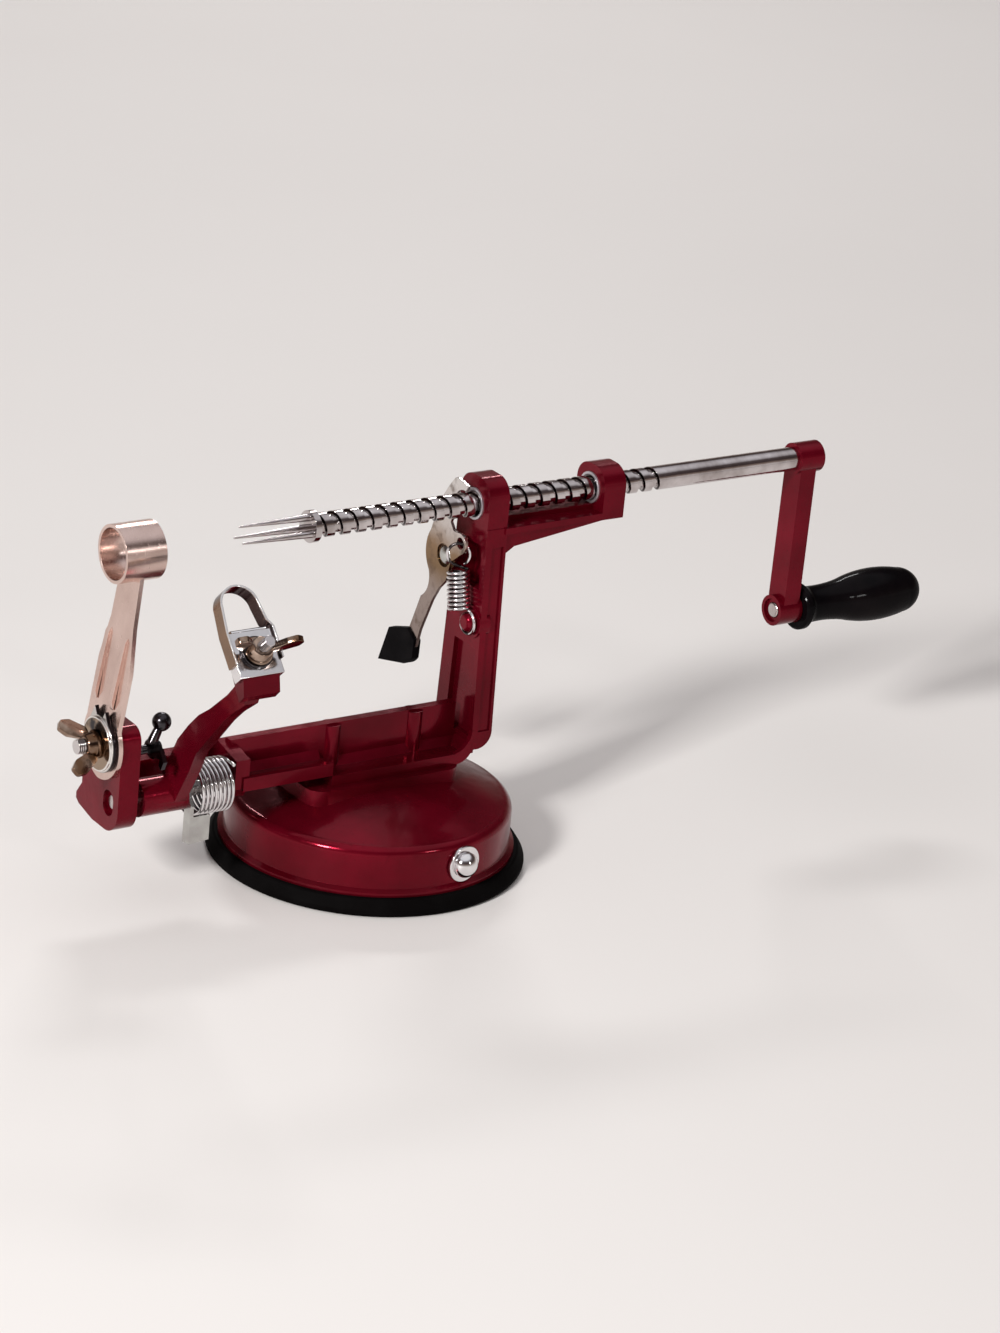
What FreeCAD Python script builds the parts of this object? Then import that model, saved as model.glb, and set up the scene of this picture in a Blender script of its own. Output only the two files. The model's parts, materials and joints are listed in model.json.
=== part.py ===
import FreeCAD, Part
import Sketcher
import math
import os
from FreeCAD import Vector

# Hand cranked apple peeler on a suction base.
# +X points at the crank, -Y at the user, +Z up. The origin is the middle of the base on the table.

doc = FreeCAD.newDocument("ApplePeeler")

# Driving dimensions, in millimetres and degrees
DIMENSIONS = {
    # base
    "rubber_radius": 56.5, "rubber_top_radius": 54, "rubber_top": 6, "core_radius": 20, "core_gap": 0.4,
    "cup_hollow": 1.5, "rim_radius": 52.4, "rim_top": 7.4, "skirt_radius": 50.6, "skirt_foot": 8.3,
    "shoulder_height": 23.4, "shoulder_round": 3.2, "dome_height": 30.6, "dome_round": 150, "wall": 2.4,
    "pad_length": 62, "pad_width": 30, "pad_centre": -2, "seat_height": 33,
    "axle_turn": 8, "axle_height": 15, "axle_diameter": 6, "cam_radius": 5, "cam_offset": 1.25,
    "cam_width": 8, "stem_width": 16, "stem_depth": 12, "stem_top": 24.5, "running_gap": 0.05,
    "cap_radius": 4.6, "cap_height": 4.4, "washer_radius": 6.6, "washer_thickness": 1.2,
    "lever_reach": 42, "lever_drop": 3, "lever_thickness": 3, "lever_width": 8, "grip_length": 20,
    "lever_distance": 52.2,
    # fixing screws between base and frame
    "screw_left": -18.5, "screw_right": 15.4, "screw_diameter": 4, "screw_head_radius": 4.5,
    "screw_head_height": 3, "screw_head_top": 26.1, "screw_tip": 45,
    # frame casting
    "beam_left": -60, "beam_step": -24, "beam_right": 27.4, "beam_half_width": 12, "lip_width": 2,
    "left_floor": 37.2, "left_web_foot": 40, "left_lip": 42, "web_foot": 36.5, "lip_top": 37,
    "web_top": 52.2, "web_half": 1.7, "web_foot_half": 3.4, "boss_radius": 3.6, "boss_top": 51.4,
    "post_left": 33.4, "post_right": 41.75, "post_bottom": 37.6, "post_foot_half": 12.1,
    "post_top_half": 9.4, "post_round": 6, "rim_width": 2.8, "channel_floor": 37.5,
    "lower_channel_floor": 35.4, "corner_round": 7.1, "corner_fillet": 8,
    "near_rim": 2, "far_rim": 6.5, "lower_channel_bottom": 42, "lower_channel_top": 75,
    "upper_channel_bottom": 96.5, "upper_channel_top": 112.5, "panel_depth": 0.7,
    "panel_left": 35.9, "panel_right": 40.6,
    "peg_across": -5, "peg_height": 84, "peg_radius": 3.5, "peg_left": 29.8, "peg_ring": 6,
    "peg_ring_height": 0.6, "bearing_half": 9.1, "bearing_top": 136.5, "bearing_round": 7, "rear_left": 82.8,
    "rear_right": 92, "rear_half": 8.6, "rear_top": 134.9, "rear_bottom": 116.6,
    "arm_plate_bottom": 117, "arm_plate_top": 119.2, "arm_plate_half": 10, "arm_rib_half": 3,
    "arm_rib_top": 121, "gusset_half": 8.4, "gusset_root": 107.5, "gusset_knee": 111.6,
    "gusset_knee_x": 46, "head_left": -109, "head_right": -101.5, "head_top": 67,
    "head_bottom": 28.6, "head_near": -12.2, "head_far": 12.6, "head_bump": 16,
    "rail_near": 7.2, "rail_far": 13, "rail_bottom": 29.2, "rail_top": 46,
    "lug_left": -63, "lug_right": -57.5, "lug_near": -11.2, "lug_bottom": 34, "lug_top": 48.6,
    # shaft, fork and crank
    "shaft_height": 126.2, "shaft_diameter": 8.7, "thread_pitch": 6.35, "groove_depth": 1.1,
    "groove_width": 3.2, "groove_root_width": 2.3, "groove_place": 29.2, "thread_left": -32.2,
    "thread_right": 112, "shaft_right": 173.5, "seat_diameter": 6.6, "crank_right": 184.2,
    "spigot_diameter": 5.2, "fork_left": -34.6, "fork_radius": 5.6, "prong_count": 3,
    "prong_circle": 3.3, "prong_length": 27.4, "prong_root": 1.35, "prong_tip": 0.3,
    "bush_diameter": 11.4, "bush_bore": 8.8, "bush_proud": 0.7, "bush_chamfer": 0.5,
    "crank_left": 174.3, "crank_thickness": 7, "crank_width": 9.6, "crank_throw": 59.5,
    "hub_radius": 5.8, "boss_left": 172.4, "boss_right": 182.6, "rivet_recess": 1.1,
    "rivet_recess_radius": 4.4, "pin_diameter": 6, "pin_right": 224, "pin_collar": 3.9,
    "pin_collar_length": 3, "grip_left": 183, "grip_flange": 8.8, "grip_flange_length": 2.6,
    "grip_neck": 6.9, "grip_neck_at": 189, "grip_waist_at": 205, "grip_waist": 7.8,
    "grip_belly_at": 232.5, "grip_belly": 8.6, "grip_end": 241.5, "grip_bore_end": 228,
    # catch that drops into the thread
    "catch_left": 28.6, "catch_thickness": 1.2, "catch_pivot_across": 8.9,
    "catch_pivot_height": 104.3, "eyelet_radius": 5.5, "eyelet_depth": 1, "eyelet_recess": 4.2,
    "ear_radius": 5.5, "rivet_radius": 2.5, "rivet_head_radius": 3.7, "rivet_head_height": 1.7,
    "notch_radius": 5.2, "tooth_reach": 3.5, "tooth_half": 1, "ear_hole": 2.1,
    "ear_across": -0.4, "ear_height": 112, "sleeve_cover": 0.9,
    # catch spring
    "catch_wire": 1.1, "catch_coil": 3.55, "catch_turns": 9, "catch_pitch": 1.56, "loop_radius": 4,
    "loop_height": 108, "coil_left": 28.5, "coil_top": 102.2, "coil_top_across": -0.9,
    "coil_bottom_across": -3.4, "hook_radius": 4.3, "hook_left": 31.6, "loop_turn": -36,
    # paring arm
    "pivot_across": -5.5, "pivot_height": 38.8, "pivot_diameter": 5, "pivot_left": -107.6,
    "pivot_right": -56.6, "slot_width": 6.6, "slot_height": 9.5, "slot_depth": 1.6,
    "arm_hub_left": -98.5, "arm_hub_right": -81.3, "arm_hub_radius": 6.6, "arm_left": -87.2,
    "arm_right": -82.5, "arm_spring_left": -78.8, "arm_wire": 1.2, "arm_coil": 8.9,
    "arm_turns": 8, "arm_pitch": 1.65, "arm_lead": 1.3, "arm_tail": 6, "plate_thickness": 1.2,
    "flange_right": -73.5, "flange_near": -13.6, "flange_top": 31.9, "flange_bottom": 21.6,
    "plate_eye": 6.2,
    # blade unit, laid out on its own sloping plate
    "unit_left": -83.5, "unit_across": -50.2, "unit_height": 106.5, "unit_slope": 47,
    "bracket_half_width": 8.3, "bracket_half_length": 7.8, "bracket_thickness": 1.2,
    "bracket_flange": 5, "bracket_slot_half": 2.4, "bracket_slot_end": 2.5,
    "pad_half_width": 6.9, "pad_depth": 6, "pad_end": 5.6, "head_seat": 3.4,
    "blade_depth_below": 4.6, "blade_depth_above": 1.4, "blade_thickness": 0.7, "blade_foot": -3,
    "blade_step": 8, "blade_step_in": 1.6, "blade_bend": 16.75, "blade_turn": 7.15,
    "blade_shift": -0.8, "guard_half_width": 6.6, "guard_drop": 5.6, "guard_thickness": 1.1,
    "guard_round": 0.9, "bolt_diameter": 4,
    "bolt_top": 10.8, "bolt_head_radius": 4, "bolt_head_height": 2.6,
    "dark_washer_radius": 5.6, "dark_washer_thickness": 1.3,
    # wing nuts
    "nut_foot_radius": 5, "nut_top_radius": 3.7, "nut_height": 4.6, "wing_reach": 11.5,
    "wing_rise": 11.8, "wing_thickness": 2.2, "wing_width": 6.4, "blade_wing_turn": -7,
    "core_wing_turn": 47, "core_wing_reach": 9.8,
    # coring and slicing blade
    "core_bolt_across": -2.2, "core_bolt_height": 59.7, "core_bolt_diameter": 5,
    "core_bolt_left": -120.8, "core_head_radius": 3.6, "core_head_height": 3.5, "core_plate": 1.6,
    "core_disc_radius": 13.4,
    "stem_half": 11.6, "stem_far": 9, "stem_bend": 67, "stem_lean": 8, "stem_neck_half": 6.4,
    "stem_neck_height": 96, "ring_radius": 10, "ring_wall": 1.2, "ring_length": 15,
    "ring_centre": -102.4, "rib_half": 1.1, "rib_height": 0.8, "rib_across": 5.6,
    "lock_washer_radius": 10, "lock_washer_thickness": 1.5, "lock_ear": 2.4,
    "bright_washer_radius": 9.4, "bright_washer_thickness": 1,
    # latch that holds the arm back
    "latch_across": -7, "latch_height": 57, "latch_left": -95.2, "latch_thickness": 1.5,
    "latch_pin_radius": 1.6, "latch_pin_right": -91.4, "latch_pin_head": 2.3,
    "latch_hub": 3.6, "latch_stop_across": 5.2, "latch_stop_height": 62.3,
    "latch_stop_right": -100, "latch_stop_radius": 1.4, "knob_left": -90.9,
    "knob_across": -6.6, "knob_height": 66, "knob_radius": 3.3, "neck_foot": 1.9, "neck_top": 1.4,
}


class Size:
    # a number from the sheet, or worked out from it, with the formula that says so
    def __init__(self, value, text):
        self.value = value
        self.text = text

    def join(self, sign, other, turned=False):
        other = sized(other)
        first, second = (other, self) if turned else (self, other)
        worked = {
            "+": lambda a, b: a + b,
            "-": lambda a, b: a - b,
            "*": lambda a, b: a * b,
            "/": lambda a, b: a / b,
        }[sign](first.value, second.value)
        return Size(worked, f"({first.text} {sign} {second.text})")

    def __add__(self, other):
        return self.join("+", other)

    def __radd__(self, other):
        return self.join("+", other, True)

    def __sub__(self, other):
        return self.join("-", other)

    def __rsub__(self, other):
        return self.join("-", other, True)

    def __mul__(self, other):
        return self.join("*", other)

    def __rmul__(self, other):
        return self.join("*", other, True)

    def __truediv__(self, other):
        return self.join("/", other)

    def __neg__(self):
        return self.join("*", -1)

    def __float__(self):
        return float(self.value)


def sized(thing):
    return thing if isinstance(thing, Size) else Size(thing, f"({thing})")


class Sheet:
    pass


size = Sheet()
sheet = doc.addObject("Spreadsheet::Sheet", "Sizes")
for row, (alias, value) in enumerate(DIMENSIONS.items(), start=1):
    sheet.set(f"A{row}", alias.replace("_", " "))
    sheet.set(f"B{row}", str(value))
    sheet.setAlias(f"B{row}", alias)
    setattr(size, alias, Size(value, f"Sizes.{alias}"))
doc.recompute()

nodes = []


# Helpers for primitives and booleans
def bind(thing, name, amount):
    thing.setExpression(name, sized(amount).text)


def place(thing, at=(0, 0, 0), axis=(0, 0, 1), angle=None):
    if angle is None:
        turn = FreeCAD.Rotation(Vector(0, 0, 1), Vector(*axis))
    else:
        turn = FreeCAD.Rotation(Vector(*axis), float(angle))
    thing.Placement = FreeCAD.Placement(Vector(*[float(c) for c in at]), turn)
    for letter, amount in zip("xyz", at):
        bind(thing, f"Placement.Base.{letter}", amount)
    return thing


def cylinder(name, radius, height, at, axis=(0, 0, 1)):
    made = doc.addObject("Part::Cylinder", name)
    bind(made, "Radius", radius)
    bind(made, "Height", height)
    return place(made, at, axis)


def cone(name, foot, top, height, at, axis=(0, 0, 1)):
    made = doc.addObject("Part::Cone", name)
    bind(made, "Radius1", foot)
    bind(made, "Radius2", top)
    bind(made, "Height", height)
    return place(made, at, axis)


def sphere(name, radius, at):
    made = doc.addObject("Part::Sphere", name)
    bind(made, "Radius", radius)
    return place(made, at)


def fuse(name, *pieces):
    made = doc.addObject("Part::MultiFuse", name)
    made.Shapes = list(pieces)
    made.Refine = True
    return made


def cut(name, base, *tools):
    made = base
    for count, tool in enumerate(tools, start=1):
        step = doc.addObject("Part::Cut", f"{name}_cut_{count}")
        step.Base = made
        step.Tool = tool
        made = step
    return made


def common(name, first, second):
    made = doc.addObject("Part::Common", name)
    made.Base = first
    made.Tool = second
    return made


def node(label, made):
    made.Label = label
    nodes.append(made)
    return made


def shaped(label, shape, at=(0, 0, 0)):
    made = doc.addObject("Part::Feature", label)
    made.Shape = shape
    return node(label, place(made, at))


# Helpers for sketches and features
class Arc:
    # a corner reached by an arc: where it ends, its radius, and whether it turns left on its way
    def __init__(self, x, y, radius, left):
        self.end = (x, y)
        self.radius = radius
        self.left = left


class Ring:
    def __init__(self, x, y, radius):
        self.centre = (x, y)
        self.radius = radius


def draw_ring(sketch, ring):
    centre = Vector(float(ring.centre[0]), float(ring.centre[1]), 0)
    line = sketch.addGeometry(Part.Circle(centre, Vector(0, 0, 1), float(ring.radius)))
    pin(sketch, line, 3, ring.centre)
    number = sketch.addConstraint(Sketcher.Constraint("Radius", line, float(ring.radius)))
    sketch.setExpression(f"Constraints[{number}]", sized(ring.radius).text)


def pin(sketch, line, end, point):
    for kind, amount in zip(("DistanceX", "DistanceY"), point):
        number = sketch.addConstraint(Sketcher.Constraint(kind, -1, 1, line, end, float(amount)))
        if isinstance(amount, Size):
            sketch.setExpression(f"Constraints[{number}]", amount.text)


def arc_between(start, corner):
    end = Vector(float(corner.end[0]), float(corner.end[1]), 0)
    chord = end - start
    radius = float(corner.radius)
    side = Vector(-chord.y, chord.x, 0).normalize()
    height = math.sqrt(radius**2 - (chord.Length / 2) ** 2)
    centre = start + chord / 2 + side * (height if corner.left else -height)
    first, last = (start, end) if corner.left else (end, start)
    angles = [math.atan2(point.y - centre.y, point.x - centre.x) for point in (first, last)]
    return Part.ArcOfCircle(Part.Circle(centre, Vector(0, 0, 1), radius), *angles)


def draw_loop(sketch, corners):
    ends = [corner.end if isinstance(corner, Arc) else corner for corner in corners]
    points = [Vector(float(x), float(y), 0) for x, y in ends]
    lines = []
    for index, corner in enumerate(corners):
        start = points[index - 1]
        if isinstance(corner, Arc):
            line = sketch.addGeometry(arc_between(start, corner))
            lines.append((line, 1, 2) if corner.left else (line, 2, 1))
            number = sketch.addConstraint(Sketcher.Constraint("Radius", line, float(corner.radius)))
            sketch.setExpression(f"Constraints[{number}]", sized(corner.radius).text)
        else:
            lines.append((sketch.addGeometry(Part.LineSegment(start, points[index])), 1, 2))
    for index, (line, start, end) in enumerate(lines):
        after, after_start, after_end = lines[(index + 1) % len(lines)]
        sketch.addConstraint(Sketcher.Constraint("Coincident", line, end, after, after_start))
        pin(sketch, line, end, ends[index])


def draw(body, plane, offset, *outlines):
    sketch = body.newObject("Sketcher::SketchObject", f"{body.Name}_outline")
    role = f"{plane}_Plane"
    origin_plane = [item for item in body.Origin.OriginFeatures if item.Role == role][0]
    sketch.AttachmentSupport = [(origin_plane, "")]
    sketch.MapMode = "FlatFace"
    bind(sketch, "AttachmentOffset.Base.z", -sized(offset) if plane == "XZ" else offset)
    for outline in outlines:
        if isinstance(outline, Ring):
            draw_ring(sketch, outline)
        else:
            draw_loop(sketch, outline)
    return sketch


def body_named(label):
    made = doc.addObject("PartDesign::Body", label)
    return node(label, made)


def pad(body, plane, low, high, *outlines):
    sketch = draw(body, plane, low, *outlines)
    made = body.newObject("PartDesign::Pad", f"{body.Name}_pad")
    made.Profile = sketch
    bind(made, "Length", sized(high) - low)
    made.Reversed = plane == "XZ"
    body.Tip = made
    doc.recompute()
    return made


def pocket(body, plane, low, high, *outlines):
    before = body.Shape.Volume
    sketch = draw(body, plane, low, *outlines)
    made = body.newObject("PartDesign::Pocket", f"{body.Name}_pocket")
    made.Profile = sketch
    bind(made, "Length", sized(high) - low)
    made.Reversed = plane != "XZ"
    body.Tip = made
    doc.recompute()
    if body.Shape.Volume >= before:
        raise ValueError(f"{body.Label}: a pocket removed nothing")
    return made


def turn(body, plane, axis, *outlines):
    sketch = draw(body, plane, 0, *outlines)
    made = body.newObject("PartDesign::Revolution", f"{body.Name}_turned")
    made.Profile = sketch
    made.ReferenceAxis = (sketch, [axis])
    made.Angle = 360
    body.Tip = made
    doc.recompute()
    return made


def rounded(body, radius, chosen):
    names = [f"Edge{i}" for i, edge in enumerate(body.Shape.Edges, start=1) if chosen(edge)]
    before = body.Tip
    made = body.newObject("PartDesign::Fillet", f"{body.Name}_round")
    made.Base = (before, names)
    bind(made, "Radius", radius)
    body.Tip = made
    doc.recompute()
    return made


def dome_radius(rise, radius):
    # the ball whose cap has this rise and this radius at its foot
    return (rise * rise + radius * radius) / (rise * 2)


def near(amount, wanted, slack=0.05):
    return abs(amount - float(wanted)) < slack


# Helpers for wire forms
def biarc(start, start_way, end, end_way):
    span = end - start
    ways = start_way + end_way
    spread = 2 * (1 - start_way.dot(end_way))
    along = span.dot(ways)
    if spread < 1e-6:
        reach = span.dot(span) / (2 * along)
    else:
        reach = (math.sqrt(along**2 + spread * span.dot(span)) - along) / spread
    joint = (start + end + (start_way - end_way) * reach) / 2
    edges = []
    for first, corner, last in (
        (start, start + start_way * reach, joint),
        (joint, end - end_way * reach, end),
    ):
        middle = (first + last) / 2
        weight = (last - first).Length / 2 / reach
        if (corner - middle).Length < 1e-4:
            edges.append(Part.LineSegment(first, last).toShape())
        else:
            bulge = (middle + corner * weight) / (1 + weight)
            edges.append(Part.Arc(first, bulge, last).toShape())
    return edges


def wire_form(stations, diameter):
    edges = []
    for (start, start_way), (end, end_way) in zip(stations, stations[1:]):
        edges += biarc(start, start_way.normalize(), end, end_way.normalize())
    path = Part.Wire(edges)
    first, way = stations[0]
    section = Part.Wire(Part.makeCircle(diameter / 2, first, way))
    tube = path.makePipeShell([section], True, False)
    solid = tube if tube.ShapeType == "Solid" else Part.Solid(tube)
    points = [edge.valueAt(edge.FirstParameter + (edge.LastParameter - edge.FirstParameter) * k / 6)
              for edge in edges for k in range(6)]
    lengths = [edge.Length for edge in edges for k in range(6)]
    gap = least_self_gap(points, lengths, diameter)
    expected = math.pi * diameter**2 / 4 * path.Length
    print(f"  wire {diameter:.2f}: length {path.Length:.1f}, gap to itself {gap:.2f},",
          f"volume {solid.Volume / expected:.4f} of section times length")
    return solid


def least_self_gap(points, lengths, diameter):
    travelled = [0]
    for first, second in zip(points, points[1:]):
        travelled.append(travelled[-1] + (second - first).Length)
    least = 1e9
    for i, first in enumerate(points):
        for j in range(i + 1, len(points)):
            if travelled[j] - travelled[i] > 4 * diameter:
                least = min(least, (points[j] - first).Length - diameter)
    return least


# Suction base
def base_housing():
    body = doc.addObject("PartDesign::Body", "housing_shell")
    inner = size.skirt_radius - size.wall
    turn(
        body, "XZ", "V_Axis",
        [
            (0, size.dome_height - size.wall),
            Arc(inner - size.shoulder_round, size.shoulder_height - size.wall, size.dome_round, False),
            (inner, size.shoulder_height - size.wall - size.shoulder_round),
            (inner, size.rubber_top), (size.rim_radius, size.rubber_top),
            (size.rim_radius, size.rim_top), (size.skirt_radius, size.skirt_foot),
            (size.skirt_radius, size.shoulder_height - size.shoulder_round),
            Arc(size.skirt_radius - size.shoulder_round, size.shoulder_height,
                size.shoulder_round * 1.05, True),
            Arc(0, size.dome_height, size.dome_round, True),
        ],
    )
    half = size.pad_length / 2
    across = size.pad_width / 2
    raised = doc.addObject("PartDesign::Body", "housing_pad")
    corner = size.shoulder_round * 2
    pad(
        raised, "XY", size.dome_height - size.wall - 1, size.seat_height,
        [
            (size.pad_centre + half - corner, -across),
            Arc(size.pad_centre + half, -across + corner, corner, True),
            (size.pad_centre + half, across - corner),
            Arc(size.pad_centre + half - corner, across, corner, True),
            (size.pad_centre - half + corner, across),
            Arc(size.pad_centre - half, across - corner, corner, True),
            (size.pad_centre - half, -across + corner),
            Arc(size.pad_centre - half + corner, -across, corner, True),
        ],
    )
    turn_angle = math.radians(float(size.axle_turn))
    axle_way = (math.sin(turn_angle), -math.cos(turn_angle), 0)
    reach = float(size.rubber_radius)
    start = (-axle_way[0] * reach, -axle_way[1] * reach, size.axle_height)
    axle_hole = cylinder("housing_axle_hole", size.axle_diameter / 2 + size.running_gap,
                         2 * size.rubber_radius, start, axle_way)
    screw_holes = [
        cylinder(f"housing_screw_hole_{name}", size.screw_diameter / 2 + 0.2, size.seat_height,
                 (across_x, 0, size.stem_top), (0, 0, 1))
        for name, across_x in (("left", size.screw_left), ("right", size.screw_right))
    ]
    node("base_housing", cut("base_housing", fuse("housing_joined", body, raised), axle_hole, *screw_holes))


def suction_cup():
    body = body_named("suction_cup")
    hole = size.core_radius + size.core_gap
    turn(
        body, "XZ", "V_Axis",
        [
            (hole, size.cup_hollow), (size.skirt_radius - size.wall * 2, size.cup_hollow),
            (size.skirt_radius, 0), (size.rubber_radius - 1, 0), (size.rubber_radius, 1),
            (size.rubber_radius, size.wall), (size.rubber_top_radius, size.rubber_top),
            (size.skirt_radius - size.wall - 0.4, size.rubber_top),
            (size.skirt_radius - size.wall * 2, size.rubber_top - 1), (hole, size.rubber_top - 1),
        ],
    )


def cup_core():
    body = body_named("cup_core")
    turn(
        body, "XZ", "V_Axis",
        [
            (0, size.cup_hollow), (size.core_radius, size.cup_hollow),
            (size.core_radius, size.rubber_top - 1), (size.core_radius / 2, size.rubber_top),
            (0, size.rubber_top),
        ],
    )


def cup_stem():
    body = body_named("cup_stem")
    half = size.stem_width / 2
    depth = size.stem_depth / 2
    window = size.cam_radius + size.cam_offset + 0.6
    pad(
        body, "XZ", -depth, depth,
        [(-half, size.rubber_top), (half, size.rubber_top), (half, size.stem_top),
         (-half, size.stem_top)],
        [(-window, size.axle_height - window - 0.4), (window, size.axle_height - window - 0.4),
         (window, size.axle_height + window - 1.2), (-window, size.axle_height + window - 1.2)],
    )
    place(body, (0, 0, 0), (0, 0, 1), size.axle_turn)


def on_axle(body):
    place(body, (0, 0, size.axle_height), (0, 0, 1), size.axle_turn)


def suction_cam():
    body = body_named("suction_cam")
    half = size.cam_width / 2
    pad(body, "XZ", -half, half,
        Ring(0, -size.cam_offset, size.cam_radius), Ring(0, 0, size.axle_diameter / 2))
    on_axle(body)


def cam_axle():
    body = body_named("cam_axle")
    pad(body, "XZ", -(size.skirt_radius + size.washer_thickness + 2.5),
        size.lever_distance + size.lever_thickness,
        Ring(0, 0, size.axle_diameter / 2))
    on_axle(body)


def axle_washer():
    body = body_named("axle_washer")
    face = size.skirt_radius + 0.1
    pad(body, "XZ", -(face + size.washer_thickness), -face,
        Ring(0, 0, size.washer_radius), Ring(0, 0, size.axle_diameter / 2))
    on_axle(body)


def axle_cap():
    body = body_named("axle_cap")
    foot = size.skirt_radius + 0.1 + size.washer_thickness
    hole = size.axle_diameter / 2
    end = size.skirt_radius + size.washer_thickness + 2.5
    turn(
        body, "XY", "V_Axis",
        [
            (0, -end), (hole, -end), (hole, -foot), (size.cap_radius, -foot),
            (size.cap_radius, -foot - 1),
            Arc(0, -foot - size.cap_height, dome_radius(size.cap_height - 1, size.cap_radius), False),
        ],
    )
    on_axle(body)


def suction_lever():
    body = body_named("suction_lever")
    start = size.lever_distance
    half = size.lever_width / 2
    pad(body, "XZ", start, start + size.lever_thickness,
        [
            (0, half), Arc(0, -half, half * 1.0001, True),
            (size.lever_reach, -half - size.lever_drop), (size.lever_reach, half - size.lever_drop),
        ])
    pocket(body, "XZ", start - 1, start + size.lever_thickness + 1, Ring(0, 0, size.axle_diameter / 2))
    on_axle(body)


def lever_grip():
    sleeve = doc.addObject("PartDesign::Body", "grip_sleeve")
    half = size.lever_width / 2 + 1.6
    start = size.lever_distance - 1.2
    end = size.lever_distance + size.lever_thickness + 1.6
    low = size.lever_reach - size.grip_length
    pad(sleeve, "XZ", start, end,
        [
            (low, half - size.lever_drop * 0.6), (low, -half - size.lever_drop * 0.6),
            (size.lever_reach, -half - size.lever_drop),
            Arc(size.lever_reach, half - size.lever_drop, half * 1.02, True),
        ])
    on_axle(sleeve)
    lever = [item for item in nodes if item.Label == "suction_lever"][0]
    node("lever_grip", cut("lever_grip", sleeve, lever))


def base_screws():
    head_top = size.screw_head_top
    for name, across in (("left", size.screw_left), ("right", size.screw_right)):
        head = cylinder(f"screw_head_{name}", size.screw_head_radius, size.screw_head_height,
                        (across, 0, head_top - size.screw_head_height))
        shank = cylinder(f"screw_shank_{name}", size.screw_diameter / 2, size.screw_tip - head_top,
                         (across, 0, head_top))
        node(f"base_screw_{name}", fuse(f"base_screw_{name}", head, shank))


# Frame casting
def beam_section(floor, foot, lip):
    half = size.beam_half_width
    inner = half - size.lip_width
    return [
        (-half, floor), (half, floor), (half, lip), (inner, lip), (inner - 0.6, foot),
        (size.web_foot_half, foot), (size.web_half, foot + 3), (size.web_half, size.web_top),
        (-size.web_half, size.web_top), (-size.web_half, foot + 3), (-size.web_foot_half, foot),
        (0.6 - inner, foot), (-inner, lip), (-half, lip),
    ]


def post_half(height):
    slope = (size.post_foot_half - size.post_top_half) / (size.arm_plate_top - size.post_bottom)
    return size.post_foot_half - slope * (height - size.post_bottom)


def channel(low, high):
    low_half = post_half(low)
    high_half = post_half(high)
    return [
        (size.near_rim - low_half, low), (low_half - size.far_rim, low),
        (high_half - size.far_rim, high), (size.near_rim - high_half, high),
    ]


def arched(half, bottom, top):
    corner = size.bearing_round
    return [
        (-half, bottom), (half, bottom), (half, top - corner), Arc(half - corner, top, corner, True),
        (corner - half, top), Arc(-half, top - corner, corner, True),
    ]


def main_frame():
    body = body_named("main_frame")
    pad(body, "YZ", size.beam_left, size.beam_step,
        beam_section(size.left_floor, size.left_web_foot, size.left_lip))
    pad(body, "YZ", size.beam_step, size.post_left + 1,
        beam_section(size.seat_height, size.web_foot, size.lip_top))
    half = size.beam_half_width
    pocket(body, "XZ", -half - 1, half + 1,
           [(size.beam_right, size.seat_height - 1), (size.post_left + 2, size.seat_height - 1),
            (size.post_left + 2, size.post_bottom), (size.post_left + 0.6, size.post_bottom),
            Arc(size.beam_right, size.seat_height, size.corner_round, False)])
    # the lips turn up into the post
    fillet = size.corner_fillet
    for start in (-half, half - size.lip_width):
        pad(body, "XZ", start, start + size.lip_width,
            [(size.post_left - fillet, size.lip_top - 0.6), (size.post_left + 1, size.lip_top - 0.6),
             (size.post_left + 1, size.lip_top + fillet), (size.post_left, size.lip_top + fillet),
             Arc(size.post_left - fillet, size.lip_top, fillet * 1.002, False)])
    # the floor meets the foot of the post
    pad(body, "XZ", -half, half,
        [(size.post_left - 3, size.web_foot - 0.4), (size.post_left - 0.8, size.web_foot - 0.4),
         (size.post_left + 0.8, size.post_bottom + 0.2), (size.post_left + 0.8, size.web_foot + 3.5),
         (size.post_left, size.web_foot + 3.5)])
    for across in (size.screw_left, size.screw_right):
        pad(body, "XY", size.web_foot, size.boss_top, Ring(across, 0, size.boss_radius))
        pocket(body, "XY", size.seat_height - 1, size.screw_tip, Ring(across, 0, size.screw_diameter / 2))
    post(body)
    bearings(body)
    head(body)
    pivot_bay(body)
    for at_x in (size.post_left - 1, size.rear_left - 1):
        pocket(body, "YZ", at_x, at_x + 12,
               Ring(0, size.shaft_height, size.bush_diameter / 2 + size.running_gap))
    return body


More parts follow.
